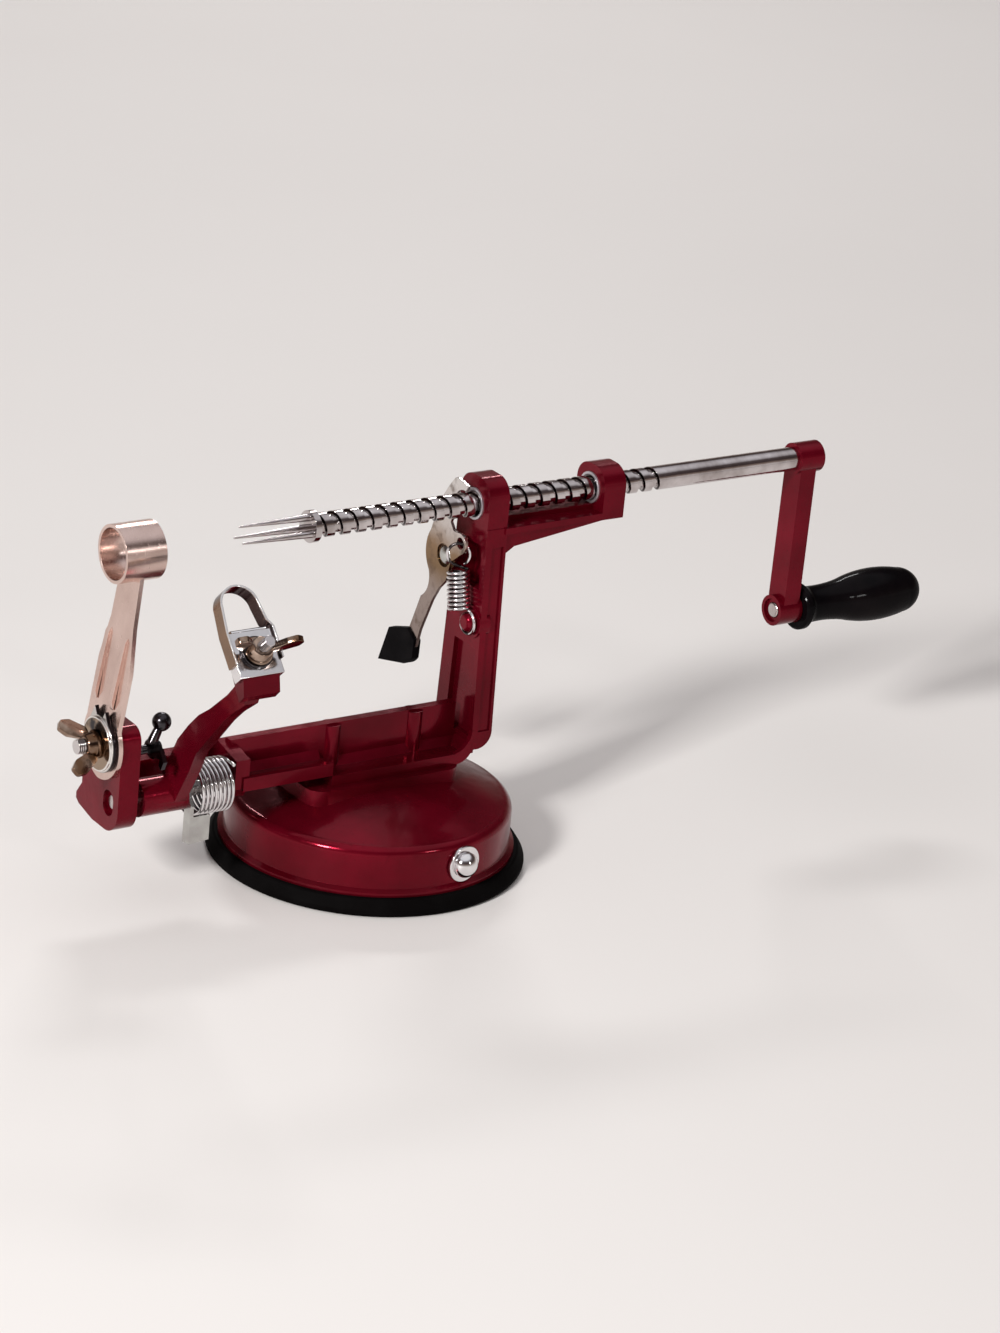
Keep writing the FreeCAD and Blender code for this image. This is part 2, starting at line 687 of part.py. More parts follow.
def post(body):
    low = size.post_bottom
    high = size.arm_plate_top
    pad(body, "YZ", size.post_left, size.post_right,
        [(-post_half(low), low), (post_half(low), low), (post_half(high), high),
         (-post_half(high), high)])
    rounded(body, size.post_round,
            lambda edge: near(edge.CenterOfMass.z, size.post_bottom)
            and near(edge.CenterOfMass.x, size.post_right) and near(edge.CenterOfMass.y, 0))
    # the face towards the fruit is a channel with a raised rim
    pocket(body, "YZ", size.post_left - 1, size.lower_channel_floor,
           channel(size.lower_channel_bottom, size.lower_channel_top))
    bottom = size.upper_channel_bottom
    top = size.upper_channel_top
    pocket(body, "YZ", size.post_left - 1, size.channel_floor,
           [(size.rim_width - post_half(bottom), bottom), (2, bottom),
            (2, top), (size.rim_width - post_half(top), top)])
    # sunk panels on both flanks
    for side in (-1, 1):
        panel_bottom = size.lower_channel_bottom + 2
        panel_top = size.upper_channel_top
        outer = size.beam_half_width + 2
        pocket(body, "YZ", size.panel_left, size.panel_right,
               [(side * outer, panel_bottom), (side * outer, panel_top),
                (side * (post_half(panel_top) - size.panel_depth), panel_top),
                (side * (post_half(panel_bottom) - size.panel_depth), panel_bottom)])
    # ring and peg that the spring hooks on
    pad(body, "YZ", size.post_left - size.peg_ring_height, size.channel_floor,
        Ring(size.peg_across, size.peg_height, size.peg_ring))
    pad(body, "YZ", size.peg_left, size.post_left, Ring(size.peg_across, size.peg_height, size.peg_radius))
    rounded(body, size.peg_radius * 0.5,
            lambda edge: near(edge.CenterOfMass.x, size.peg_left) and edge.Closed)
    # ear that carries the catch
    ear_left = size.catch_left + size.catch_thickness + size.eyelet_depth + 0.2
    pad(body, "YZ", ear_left, size.post_right,
        Ring(size.catch_pivot_across, size.catch_pivot_height, size.ear_radius))
    pocket(body, "YZ", ear_left - 1, size.post_right + 1,
           Ring(size.catch_pivot_across, size.catch_pivot_height, size.rivet_radius))


def bearings(body):
    base = size.arm_plate_bottom
    pad(body, "YZ", size.post_left, size.post_right, arched(size.bearing_half, base, size.bearing_top))
    pad(body, "YZ", size.rear_left, size.rear_right,
        arched(size.rear_half, size.rear_bottom, size.rear_top))
    front = size.post_right - 1
    back = size.rear_left + 1
    pad(body, "XY", size.arm_plate_bottom, size.arm_plate_top,
        [(front, -size.arm_plate_half), (back, -size.rear_half), (back, size.rear_half),
         (front, size.arm_plate_half)])
    pad(body, "XY", size.arm_plate_bottom, size.arm_rib_top,
        [(front, -size.arm_rib_half), (back, -size.arm_rib_half), (back, size.arm_rib_half),
         (front, size.arm_rib_half)])
    pad(body, "XZ", -size.gusset_half, size.gusset_half,
        [(front, size.gusset_root), (size.post_right + 1, size.gusset_root + 2),
         (size.gusset_knee_x, size.gusset_knee), (back, size.rear_bottom),
         (back, size.arm_plate_bottom + 0.5), (front, size.arm_plate_bottom + 0.5)])


def head(body):
    near_side = size.head_near
    far_side = size.head_far
    bottom = size.head_bottom
    top = size.head_top
    pad(body, "YZ", size.head_left, size.head_right,
        [
            (far_side - 8, bottom), (size.head_bump - 2, bottom + 2), (size.head_bump, bottom + 3.4),
            (size.head_bump, bottom + 5.6), (far_side, bottom + 10.2), (far_side, top - 8),
            Arc(far_side - 6, top, 7, True), (near_side + 5, top), Arc(near_side, top - 5, 5.2, True),
            (near_side, bottom + 8), Arc(near_side + 8, bottom, 8.2, True),
        ])
    # oval pocket that shows the end of the pivot pin
    wide = size.slot_width / 2
    tall = size.slot_height / 2 - wide
    across = size.pivot_across
    height = size.pivot_height
    pocket(body, "YZ", size.head_left - 1, size.head_left + size.slot_depth,
           [(across - wide, height - tall), Arc(across + wide, height - tall, wide * 1.001, True),
            (across + wide, height + tall), Arc(across - wide, height + tall, wide * 1.001, True)])
    for centre, radius in (
        ((size.core_bolt_across, size.core_bolt_height), size.core_bolt_diameter / 2),
        ((across, height), size.pivot_diameter / 2),
        ((size.latch_across, size.latch_height), size.latch_pin_radius),
        ((size.latch_stop_across, size.latch_stop_height), size.latch_stop_radius),
    ):
        pocket(body, "YZ", size.head_left - 1, size.head_right + 1, Ring(*centre, radius))


def pivot_bay(body):
    pad(body, "YZ", size.head_right - 1, size.lug_right,
        [(size.rail_near, size.rail_bottom), (size.rail_far, size.rail_bottom + 1),
         (size.rail_far, size.rail_top), (size.rail_near, size.rail_top)])
    pad(body, "YZ", size.lug_left, size.lug_right,
        [(size.lug_near, size.lug_bottom + 4), (size.lug_near + 3, size.lug_bottom),
         (size.rail_far, size.lug_bottom), (size.rail_far, size.rail_top), (3, size.lug_top + 2.9),
         (size.lug_near, size.lug_top)])
    pocket(body, "YZ", size.lug_left - 1, size.lug_right + 1,
           Ring(size.pivot_across, size.pivot_height, size.pivot_diameter / 2))


# Shaft, fork and crank
def feed_screw():
    radius = float(size.shaft_diameter) / 2
    root = radius - float(size.groove_depth)
    pitch = float(size.thread_pitch)
    left = float(size.thread_left)
    right = float(size.thread_right)
    along = Vector(1, 0, 0)
    bar = Part.makeCylinder(radius, float(size.shaft_right) - left, Vector(left, 0, 0), along)
    # the groove's middle stands at groove_place on the far side of the shaft
    turns = math.ceil((right - left) / pitch) + 2
    start = float(size.groove_place) - pitch * math.ceil((float(size.groove_place) - left) / pitch + 1)
    helix = Part.makeHelix(pitch, pitch * turns, radius)
    outside = radius + 0.6
    flare = (float(size.groove_width) - float(size.groove_root_width)) / float(size.groove_depth)
    half_root = float(size.groove_root_width) / 2
    half_outside = half_root + flare / 2 * (outside - root)
    corners = [Vector(root, 0, -half_root), Vector(outside, 0, -half_outside),
               Vector(outside, 0, half_outside), Vector(root, 0, half_root)]
    section = Part.makePolygon(corners + corners[:1])
    groove = Part.Wire(helix.Edges).makePipeShell([section], True, True)
    # stand the groove on the shaft: its own Z runs along +X and its own X points to +Y
    groove.Placement = FreeCAD.Placement(
        Vector(start, 0, 0), FreeCAD.Rotation(Vector(0, 1, 0), Vector(0, 0, 1), Vector(1, 0, 0), "ZXY")
    )
    keep = Part.makeBox(right - left, 4 * radius, 4 * radius, Vector(left, -2 * radius, -2 * radius))
    threaded = bar.cut(groove.common(keep))
    spigot = Part.makeCylinder(float(size.spigot_diameter) / 2, left - float(size.fork_left),
                               Vector(float(size.fork_left), 0, 0), along)
    seat = Part.makeCylinder(float(size.seat_diameter) / 2,
                             float(size.crank_right) - 0.8 - float(size.shaft_right),
                             Vector(float(size.shaft_right), 0, 0), along)
    whole = threaded.fuse([spigot, seat])
    solid = max(whole.Solids, key=lambda item: item.Volume)
    shaped("feed_screw", solid, (0, 0, size.shaft_height))


def food_fork():
    flange = cylinder("fork_flange", size.fork_radius, size.thread_left - size.fork_left,
                      (size.fork_left, 0, size.shaft_height), (1, 0, 0))
    prongs = []
    for count in range(int(float(size.prong_count))):
        angle = math.radians(90 + 360 * count / float(size.prong_count))
        prongs.append(
            cone(f"prong_{count + 1}", size.prong_root, size.prong_tip, size.prong_length + 0.2,
                 (size.fork_left + 0.2, size.prong_circle * math.cos(angle),
                  size.shaft_height + size.prong_circle * math.sin(angle)), (-1, 0, 0)))
    bore = cylinder("fork_bore", size.spigot_diameter / 2, size.thread_left - size.fork_left,
                    (size.fork_left, 0, size.shaft_height), (1, 0, 0))
    node("food_fork", cut("food_fork", fuse("fork_joined", flange, *prongs), bore))


def bush(label, left, right):
    body = body_named(label)
    low = size.bush_bore / 2
    high = size.bush_diameter / 2
    start = left - size.bush_proud
    end = right + size.bush_proud
    edge = size.bush_chamfer
    turn(
        body, "XZ", "H_Axis",
        [
            (start, low + edge), (start, high), (end, high), (end, low + edge), (end - edge, low),
            (start + edge, low),
        ],
    )
    place(body, (0, 0, size.shaft_height))


def crank_arm():
    body = body_named("crank_arm")
    half = size.crank_width / 2
    bottom = size.shaft_height - size.crank_throw
    pad(body, "YZ", size.crank_left, size.crank_left + size.crank_thickness,
        [(-half, bottom), (half, bottom), (half, size.shaft_height), (-half, size.shaft_height)])
    pad(body, "YZ", size.shaft_right, size.crank_right, Ring(0, size.shaft_height, size.hub_radius))
    pad(body, "YZ", size.boss_left, size.boss_right, Ring(0, bottom, size.hub_radius))
    pocket(body, "YZ", size.shaft_right - 1, size.crank_right + 1,
           Ring(0, size.shaft_height, size.seat_diameter / 2))
    pocket(body, "YZ", size.boss_left - 1, size.boss_right + 1, Ring(0, bottom, size.pin_diameter / 2))
    pocket(body, "YZ", size.boss_left - 1, size.boss_left + size.rivet_recess,
           Ring(0, bottom, size.rivet_recess_radius))


def crank_pin():
    body = body_named("crank_pin")
    radius = size.pin_diameter / 2
    start = size.boss_left + 0.4
    collar = size.pin_right - size.pin_collar_length
    turn(
        body, "XZ", "H_Axis",
        [
            (start, 0), (start, radius * 0.8), (start + 0.5, radius), (collar, radius),
            (collar, size.pin_collar), (size.pin_right - 1, size.pin_collar),
            (size.pin_right, radius), (size.pin_right, 0),
        ],
    )
    place(body, (0, 0, size.shaft_height - size.crank_throw))


def handle_grip():
    body = body_named("handle_grip")
    bore = size.pin_diameter / 2 + size.running_gap
    cavity = size.pin_collar + size.running_gap
    left = size.grip_left
    flange_end = left + size.grip_flange_length
    collar = size.pin_right - size.pin_collar_length
    turn(
        body, "XZ", "H_Axis",
        [
            (left, bore), (left, size.grip_flange - 0.8), (left + 0.8, size.grip_flange),
            (flange_end, size.grip_flange), Arc(size.grip_neck_at, size.grip_neck, 6, True),
            Arc(size.grip_waist_at, size.grip_waist, 60, True),
            Arc(size.grip_belly_at, size.grip_belly, 56, False),
            Arc(size.grip_end, 0, 9.6, False), (size.grip_bore_end, 0),
            (size.grip_bore_end, cavity), (collar - 0.15, cavity), (collar - 0.15, bore),
        ],
    )
    place(body, (0, 0, size.shaft_height - size.crank_throw))


# Catch
def catch_lever():
    body = body_named("catch_lever")
    left = size.catch_left
    right = left + size.catch_thickness
    shaft = size.shaft_height
    notch = size.notch_radius
    across = size.catch_pivot_across
    height = size.catch_pivot_height
    lip_y = notch * math.cos(math.radians(100))
    lip_z = shaft + notch * math.sin(math.radians(100))
    tooth_y = notch * math.cos(math.asin(float(size.tooth_half / notch)))
    end_y = notch * math.cos(math.radians(-42))
    end_z = shaft + notch * math.sin(math.radians(-42))
    pad(body, "YZ", left, right,
        [
            (lip_y - 1.2, shaft + 7.4), (lip_y, lip_z),
            Arc(tooth_y, shaft + size.tooth_half, notch, False),
            (size.tooth_reach, shaft + size.tooth_half), (size.tooth_reach, shaft - size.tooth_half),
            (tooth_y, shaft - size.tooth_half), Arc(end_y, end_z, notch, False),
            (across - 2.3, height + 13.4), (across - 4.6, height + 10.8),
            (size.ear_across + 2, size.ear_height + 3.2),
            Arc(size.ear_across - 2.2, size.ear_height - 3, 3.8, True),
            (across - 4.5, height - 1), (across - 2.6, height - 8.8), (across + 1.2, height - 12.9),
            (across + 4.7, height - 18.7), (across + 10.4, height - 32.2), (across + 13.2, height - 43.3),
            Arc(across + 19.2, height - 47.1, 9, True), (across + 32.6, height - 50.8),
            (across + 27.9, height - 38.1), (across + 17.3, height - 34.1),
            (across + 11.7, height - 19.4), Arc(across + 8.3, height - 8.3, 9, False),
            Arc(across + 9.2, height + 6.4, 12, True), (across + 5, shaft - 3), (across + 0.9, shaft + 3.4),
            (across - 2.2, shaft + 7.3), Arc(across - 5.6, shaft + 8.3, 3, True),
        ])
    pad(body, "YZ", right - 0.2, right + size.eyelet_depth, Ring(across, height, size.eyelet_radius))
    pocket(body, "YZ", left - 1, left + size.eyelet_depth + 0.1, Ring(across, height, size.eyelet_recess))
    pocket(body, "YZ", left - 1, right + size.eyelet_depth + 1,
           Ring(across, height, size.rivet_radius + size.running_gap))
    pocket(body, "YZ", left - 1, right + 1, Ring(size.ear_across, size.ear_height, size.ear_hole))


def catch_tab_sleeve():
    sleeve = doc.addObject("PartDesign::Body", "sleeve_block")
    across = size.catch_pivot_across
    height = size.catch_pivot_height
    cover = size.sleeve_cover
    pad(sleeve, "YZ", size.catch_left - cover, size.catch_left + size.catch_thickness + cover,
        [
            (across + 12.1, height - 36.9), (across + 12.4, height - 43.7),
            Arc(across + 18.9, height - 47.9, 10, True), (across + 33.6, height - 51.9),
            (across + 28.4, height - 37.6), (across + 17.1, height - 33.6),
        ])
    lever = [item for item in nodes if item.Label == "catch_lever"][0]
    node("catch_tab_sleeve", cut("catch_tab_sleeve", sleeve, lever))


def catch_pivot_rivet():
    body = body_named("catch_pivot_rivet")
    floor = size.catch_left + size.eyelet_depth
    radius = size.rivet_radius
    rise = size.rivet_head_height
    back = size.post_right
    turn(
        body, "XZ", "H_Axis",
        [
            (floor - rise, 0),
            Arc(floor, size.rivet_head_radius, dome_radius(rise, size.rivet_head_radius), False),
            (floor, radius), (back, radius), (back, radius + 1),
            Arc(back + rise, 0, dome_radius(rise, radius + 1), False),
        ],
    )
    place(body, (0, size.catch_pivot_across, size.catch_pivot_height))


def helix_stations(start, along, first, turns, radius, pitch, per_turn=4):
    # stations on a coil: start is on its axis, first is the way from the axis to the wire
    second = along.cross(first)
    stations = []
    for step in range(int(turns * per_turn) + 1):
        angle = 2 * math.pi * step / per_turn
        out = first * math.cos(angle) + second * math.sin(angle)
        way = (second * math.cos(angle) - first * math.sin(angle)) * (2 * math.pi * radius)
        point = start + out * radius + along * (pitch * step / per_turn)
        stations.append((point, way + along * pitch))
    return stations


def catch_spring():
    radius = float(size.catch_coil)
    top = Vector(float(size.coil_left), float(size.coil_top_across), float(size.coil_top))
    bottom_z = float(size.coil_top) - float(size.catch_turns) * float(size.catch_pitch)
    bottom = Vector(float(size.coil_left), float(size.coil_bottom_across), bottom_z)
    along = (bottom - top).normalize()
    pitch = (bottom - top).Length / float(size.catch_turns)
    turn_angle = math.radians(float(size.loop_turn))
    right = Vector(math.cos(turn_angle), math.sin(turn_angle), 0)
    first = (right - along * right.dot(along)).normalize()
    coil = helix_stations(top, along, first, float(size.catch_turns), radius, pitch)
    # the upper loop stands in the plane through the coil's start, open below
    loop_centre = Vector(float(size.coil_left), float(size.ear_across), float(size.loop_height))
    loop = float(size.loop_radius)
    stations = []
    for degrees in (-60, 0, 90, 180, 250):
        angle = math.radians(degrees)
        out = right * math.cos(angle) + Vector(0, 0, 1) * math.sin(angle)
        way = Vector(0, 0, 1) * math.cos(angle) - right * math.sin(angle)
        stations.append((loop_centre + out * loop, way))
    stations += coil
    # the lower end leaves the coil, runs down beside the peg and goes round it
    peg = Vector(float(size.hook_left), float(size.peg_across), float(size.peg_height))
    hook = float(size.hook_radius)
    for degrees in (70, 0, -90, -150):
        angle = math.radians(degrees)
        out = Vector(0, -1, 0) * math.cos(angle) + Vector(0, 0, 1) * math.sin(angle)
        way = Vector(0, -1, 0) * math.sin(angle) - Vector(0, 0, 1) * math.cos(angle)
        stations.append((peg + out * hook, way))
    shaped("catch_spring", wire_form(stations, float(size.catch_wire)))


# Paring arm
def arm_pivot_pin():
    made = cylinder("arm_pivot_pin", size.pivot_diameter / 2, size.pivot_right - size.pivot_left,
                    (size.pivot_left, size.pivot_across, size.pivot_height), (1, 0, 0))
    node("arm_pivot_pin", made)


def unit_point(along, out):
    # a point of the sloping plate, in the frame's Y and Z
    slope = math.radians(float(size.unit_slope))
    across = size.unit_across + along * math.cos(slope) - out * math.sin(slope)
    height = size.unit_height + along * math.sin(slope) + out * math.cos(slope)
    return (across, height)


def paring_arm():
    body = body_named("paring_arm")
    top = -size.bracket_thickness - 0.02
    across = size.pivot_across
    height = size.pivot_height
    pad(body, "YZ", size.arm_left, size.arm_right,
        [
            (across + 5, height + 2), (across - 1.6, height + 14), (across - 5.9, height + 22.2),
            (across - 12.2, height + 29.8), (across - 18.1, height + 35.8), (across - 24.7, height + 40.6),
            (across - 35, height + 49.7), (across - 42.5, height + 58.2), (across - 48, height + 54.4),
            (across - 46.6, height + 50.7), (across - 39.1, height + 44.9), (across - 33.4, height + 39.4),
            (across - 18.2, height + 21.7), (across - 14.6, height + 13.7), (across - 5.6, height - 2.5),
            (across, height),
        ])
    pad(body, "YZ", size.arm_hub_left, size.arm_hub_right,
        Ring(across, height, size.arm_hub_radius))
    middle = size.unit_left
    pad(body, "YZ", middle - size.pad_half_width, middle + size.pad_half_width,
        [
            (across - 47.5, height + 52.4), unit_point(size.pad_end, -size.pad_depth),
            unit_point(size.pad_end, top), unit_point(-size.bracket_half_length, top),
            (across - 50.2, height + 55.2),
        ])
    bore = cylinder("arm_bore", size.pivot_diameter / 2 + size.running_gap, 40,
                    (size.arm_hub_left - 5, size.pivot_across, size.pivot_height), (1, 0, 0))
    nodes.remove(body)
    slope = math.radians(float(size.unit_slope))
    outwards = (0, -math.sin(slope), math.cos(slope))
    reach = size.pad_depth * 2
    bolt_hole = cylinder("arm_bolt_hole", size.bolt_diameter / 2, reach,
                         (middle, *unit_point(0, -reach)), outwards)
    head_room = cylinder("arm_head_room", size.bolt_head_radius + 0.3, reach,
                         (middle, *unit_point(0, -reach - size.head_seat)), outwards)
    body.Label = "arm_casting"
    node("paring_arm", cut("paring_arm", body, bore, bolt_hole, head_room))


def arm_lever_plate():
    body = body_named("arm_lever_plate")
    left = size.arm_hub_right
    right = left + size.plate_thickness
    across = size.pivot_across
    height = size.pivot_height
    front = size.flange_near
    eye = size.plate_eye
    pad(body, "YZ", left, right,
        [
            (front, size.flange_bottom + 0.4), (front + 4.4, size.flange_bottom - 0.3),
            (front + 4.4, height - eye + 0.7), (across, height - eye),
            Arc(across, height + eye, eye * 1.01, True), (front + 4.2, height + 3.6), (front, height - 3),
        ])
    pad(body, "XZ", front, front + size.plate_thickness,
        [
            (right - 0.4, size.flange_bottom + 0.4), (size.flange_right, size.flange_bottom + 1),
            (size.flange_right, size.flange_top), (right - 0.4, size.flange_top),
        ])
    pocket(body, "YZ", left - 1, right + 1,
           Ring(across, height, size.pivot_diameter / 2 + size.running_gap))


def arm_spring():
    radius = float(size.arm_coil)
    start = Vector(float(size.arm_spring_left) + 0.6, float(size.pivot_across), float(size.pivot_height))
    coil = helix_stations(start, Vector(1, 0, 0), Vector(0, 0, -1), float(size.arm_turns) + 0.5, radius,
                          float(size.arm_pitch))
    first, first_way = coil[0]
    last, last_way = coil[-1]
    lead = Vector(0, first_way.y, first_way.z).normalize()
    tail = Vector(0, last_way.y, last_way.z).normalize()
    stations = [(first - lead * float(size.arm_lead), lead)] + coil
    stations.append((last + tail * float(size.arm_tail), tail))
    shaped("arm_spring", wire_form(stations, float(size.arm_wire)))


# Blade unit, drawn on its plate and then stood on the arm
def on_unit(body):
    place(body, (size.unit_left, size.unit_across, size.unit_height), (1, 0, 0), size.unit_slope)


def blade_bracket():
    body = body_named("blade_bracket")
    half = size.bracket_half_width
    length = size.bracket_half_length
    slot = size.bracket_slot_half
    reach = size.bracket_slot_end
    pad(body, "XY", -size.bracket_thickness, 0,
        [(-half, -length), (half, -length), (half, length), (-half, length)],
        [(-slot, -reach), Arc(slot, -reach, slot * 1.001, True), (slot, reach),
         Arc(-slot, reach, slot * 1.001, True)])
    for side in (-1, 1):
        inner = side * (half - size.bracket_thickness)
        pad(body, "XY", -size.bracket_flange, -size.bracket_thickness / 2,
            [(inner, -length), (side * half, -length), (side * half, length), (inner, length)])
    on_unit(body)


def paring_blade():
    body = body_named("paring_blade")
    inner = size.bracket_half_width + 0.02
    outer = inner + size.blade_thickness
    foot = size.blade_foot
    step = size.blade_step
    # the legs draw in above the bracket, the right one with a step
    knee = step + 2.6
    bend = size.blade_bend
    middle = size.blade_shift
    wide = size.blade_turn
    slim = wide - size.blade_thickness
    pad(body, "XY", -size.blade_depth_below, size.blade_depth_above,
        [
            (-outer, foot), (-inner, foot), (-inner, step), (middle - slim, bend),
            Arc(middle + slim, bend, slim * 1.0001, False), (inner - size.blade_step_in, knee),
            (inner, step), (inner, foot), (outer, foot), (outer, step),
            (outer - size.blade_step_in, knee), (middle + wide, bend),
            Arc(middle - wide, bend, wide * 1.0001, True), (-outer, step),
        ])
    on_unit(body)


def blade_guard():
    body = body_named("blade_guard")
    half = size.guard_half_width
    start = size.bracket_half_length
    end = start + size.guard_thickness
    edge = size.guard_round
    pad(body, "YZ", -half, half,
        [
            (start, -size.guard_drop), (end, -size.guard_drop), (end, -edge),
            Arc(end - edge, 0, edge * 1.001, True), (start, 0),
        ])
    on_unit(body)


def blade_bolt():
    low = -size.head_seat - size.bolt_head_height
    shank = cylinder("blade_bolt_shank", size.bolt_diameter / 2, size.bolt_top - low, (0, 0, low))
    head_piece = cylinder("blade_bolt_head", size.bolt_head_radius, size.bolt_head_height, (0, 0, low))
    made = fuse("blade_bolt", shank, head_piece)
    on_unit(made)
    node("blade_bolt", made)


def blade_washer():
    body = body_named("blade_washer")
    pad(body, "XY", 0.02, 0.02 + size.dark_washer_thickness,
        Ring(0, 0, size.dark_washer_radius), Ring(0, 0, size.bolt_diameter / 2 + size.running_gap))
    on_unit(body)


def wing_nut(label, bolt_diameter, foot, tip, turned):
    # the hub is a turned cone, and each wing is a thick leaf that leans outwards
    bore = bolt_diameter / 2 + size.running_gap
    hub = doc.addObject("PartDesign::Body", f"{label}_hub")
    turn(
        hub, "XZ", "V_Axis",
        [
            (bore, foot), (size.nut_foot_radius, foot), (size.nut_foot_radius, foot + 1.2),
            (size.nut_top_radius, foot + size.nut_height), (bore, foot + size.nut_height),
        ],
    )
    pieces = [hub]
    for side in (-1, 1):
        wing = doc.addObject("PartDesign::Body", f"{label}_wing")
        root = size.nut_top_radius - 0.6
        low = foot + 1.4
        rise = foot + size.wing_rise
        corners = [
            (side * root, low), (side * (root + 3), low + 0.6), (side * tip, rise - size.wing_width + 2),
            (side * (tip + 0.6), rise - 2), (side * (tip - 1.6), rise), (side * (tip - 4.6), rise - 1.6),
            (side * (root + 0.2), foot + size.nut_height - 0.3),
        ]
        pad(wing, "XZ", -size.wing_thickness / 2, size.wing_thickness / 2, corners)
        pieces.append(wing)
    made = fuse(f"{label}_joined", *pieces)
    made.Placement = FreeCAD.Placement(Vector(0, 0, 0), FreeCAD.Rotation(Vector(0, 0, 1), float(turned)))
    bind(made, "Placement.Rotation.Angle", turned)
    return made


def blade_wing_nut():
    nut = wing_nut("blade_nut", size.bolt_diameter, 0.04 + size.dark_washer_thickness, size.wing_reach,
                   size.blade_wing_turn)
    made = doc.addObject("Part::Compound", "blade_wing_nut")
    made.Links = [nut]
    on_unit(made)
    node("blade_wing_nut", made)


# Coring and slicing blade on the head
def coring_blade():
    plate = size.core_plate
    face = size.head_left
    bolt = size.core_bolt_height
    bend = size.stem_bend
    rise = size.shaft_height - bend
    lean = size.stem_lean
    strip = doc.addObject("PartDesign::Body", "core_strip")
    bottom = bolt - size.core_disc_radius
    pad(strip, "XZ", -size.core_disc_radius, size.core_disc_radius,
        [
            (face - plate, bottom), (face, bottom), (face, bend),
            (face + lean, bend + rise - 6), (face + lean - plate, bend + rise - 6), (face - plate, bend),
        ])
    half = size.stem_half
    neck = size.stem_neck_half
    outline = doc.addObject("PartDesign::Body", "core_outline")
    pad(outline, "YZ", face - 10, face + 30,
        [
            (size.stem_far, size.stem_neck_height - 9), (neck, size.stem_neck_height + 6),
            (neck, size.shaft_height - 5), (-neck, size.shaft_height - 5),
            (-neck - 2, size.stem_neck_height + 6), (-half, size.stem_neck_height - 9), (-half, bolt + 6.6),
            Arc(0, bottom, size.core_disc_radius, True),
            Arc(size.stem_far, bolt + 6.6, size.core_disc_radius, True),
        ])
    blank = common("core_blank", strip, outline)
    ribs = []
    for side in (-1, 1):
        rib = doc.addObject("PartDesign::Body", "core_rib")
        out = size.rib_height
        pad(rib, "XZ", side * size.rib_across - size.rib_half, side * size.rib_across + size.rib_half,
            [
                (face + 0.6 - plate, bend + 6), (face + 0.6 - plate - out, bend + 9),
                (face + lean * 0.55 - plate - out, bend + rise * 0.5),
                (face + lean * 0.6 - plate + 0.6, bend + rise * 0.55),
            ])
        ribs.append(rib)
    ring_start = size.ring_centre - size.ring_length / 2
    ring = cylinder("core_ring_outside", size.ring_radius, size.ring_length,
                    (ring_start, 0, size.shaft_height), (1, 0, 0))
    hole = cylinder("core_ring_bore", size.ring_radius - size.ring_wall, size.ring_length + 30,
                    (ring_start - 15, 0, size.shaft_height), (1, 0, 0))
    bolt_hole = cylinder("core_bolt_hole", size.core_bolt_diameter / 2, 30,
                         (face - 20, size.core_bolt_across, bolt), (1, 0, 0))
    joined = fuse("core_joined", blank, ring, *ribs)
    node("coring_blade", cut("coring_blade", joined, hole, bolt_hole))


def core_bolt():
    radius = size.core_bolt_diameter / 2
    shank = cylinder("core_bolt_shank", radius, size.head_right - size.core_bolt_left,
                     (size.core_bolt_left, size.core_bolt_across, size.core_bolt_height), (1, 0, 0))
    head_piece = cylinder("core_bolt_head", size.core_head_radius, size.core_head_height,
                          (size.head_right, size.core_bolt_across, size.core_bolt_height), (1, 0, 0))
    node("core_bolt", fuse("core_bolt", shank, head_piece))


def core_washers():
    # a dark eared lock washer under a bright one
    start = size.head_left - size.core_plate - 0.02
    radius = size.lock_washer_radius
    across = size.core_bolt_across
    bolt = size.core_bolt_height
    body = doc.addObject("PartDesign::Body", "lock_washer_blank")
    hole = size.core_bolt_diameter / 2 + size.running_gap
    thick = size.lock_washer_thickness
    outer = start - thick
    pad(body, "YZ", outer, start, Ring(across, bolt, radius), Ring(across, bolt, hole))
    ears = doc.addObject("PartDesign::Body", "lock_washer_ears")
    for middle in (-5.1, 1.7):
        rise = bolt + radius - 3
        pad(ears, "YZ", outer, start,
            [(middle - 3, rise), (middle + 3, rise), (middle, rise + 3 + size.lock_ear)])
    bright = doc.addObject("PartDesign::Body", "bright_washer")
    pad(bright, "YZ", outer - size.bright_washer_thickness, outer,
        Ring(across, bolt, size.bright_washer_radius), Ring(across, bolt, hole))
    node("core_washers", fuse("core_washers", body, ears, bright))


def core_wing_nut():
    nut = wing_nut("core_nut", size.core_bolt_diameter, 0, size.core_wing_reach, size.core_wing_turn)
    made = doc.addObject("Part::Compound", "core_wing_nut")
    made.Links = [nut]
    face = (size.head_left - size.core_plate - size.lock_washer_thickness
            - size.bright_washer_thickness - 0.04)
    place(made, (face, size.core_bolt_across, size.core_bolt_height), (0, 1, 0), -90)
    node("core_wing_nut", made)


# Latch
def latch_pin():
    left = size.head_left + 2
    shank = cylinder("latch_pin_shank", size.latch_pin_radius, size.latch_pin_right - left,
                     (left, size.latch_across, size.latch_height), (1, 0, 0))
    cap = cylinder("latch_pin_cap", size.latch_pin_head, 1,
                   (size.latch_pin_right - 1, size.latch_across, size.latch_height), (1, 0, 0))
    node("latch_pin", fuse("latch_pin", shank, cap))


def latch_stop_pin():
    left = size.head_left + 2
    made = cylinder("latch_stop_pin", size.latch_stop_radius, size.latch_stop_right - left,
                    (left, size.latch_stop_across, size.latch_stop_height), (1, 0, 0))
    node("latch_stop_pin", made)


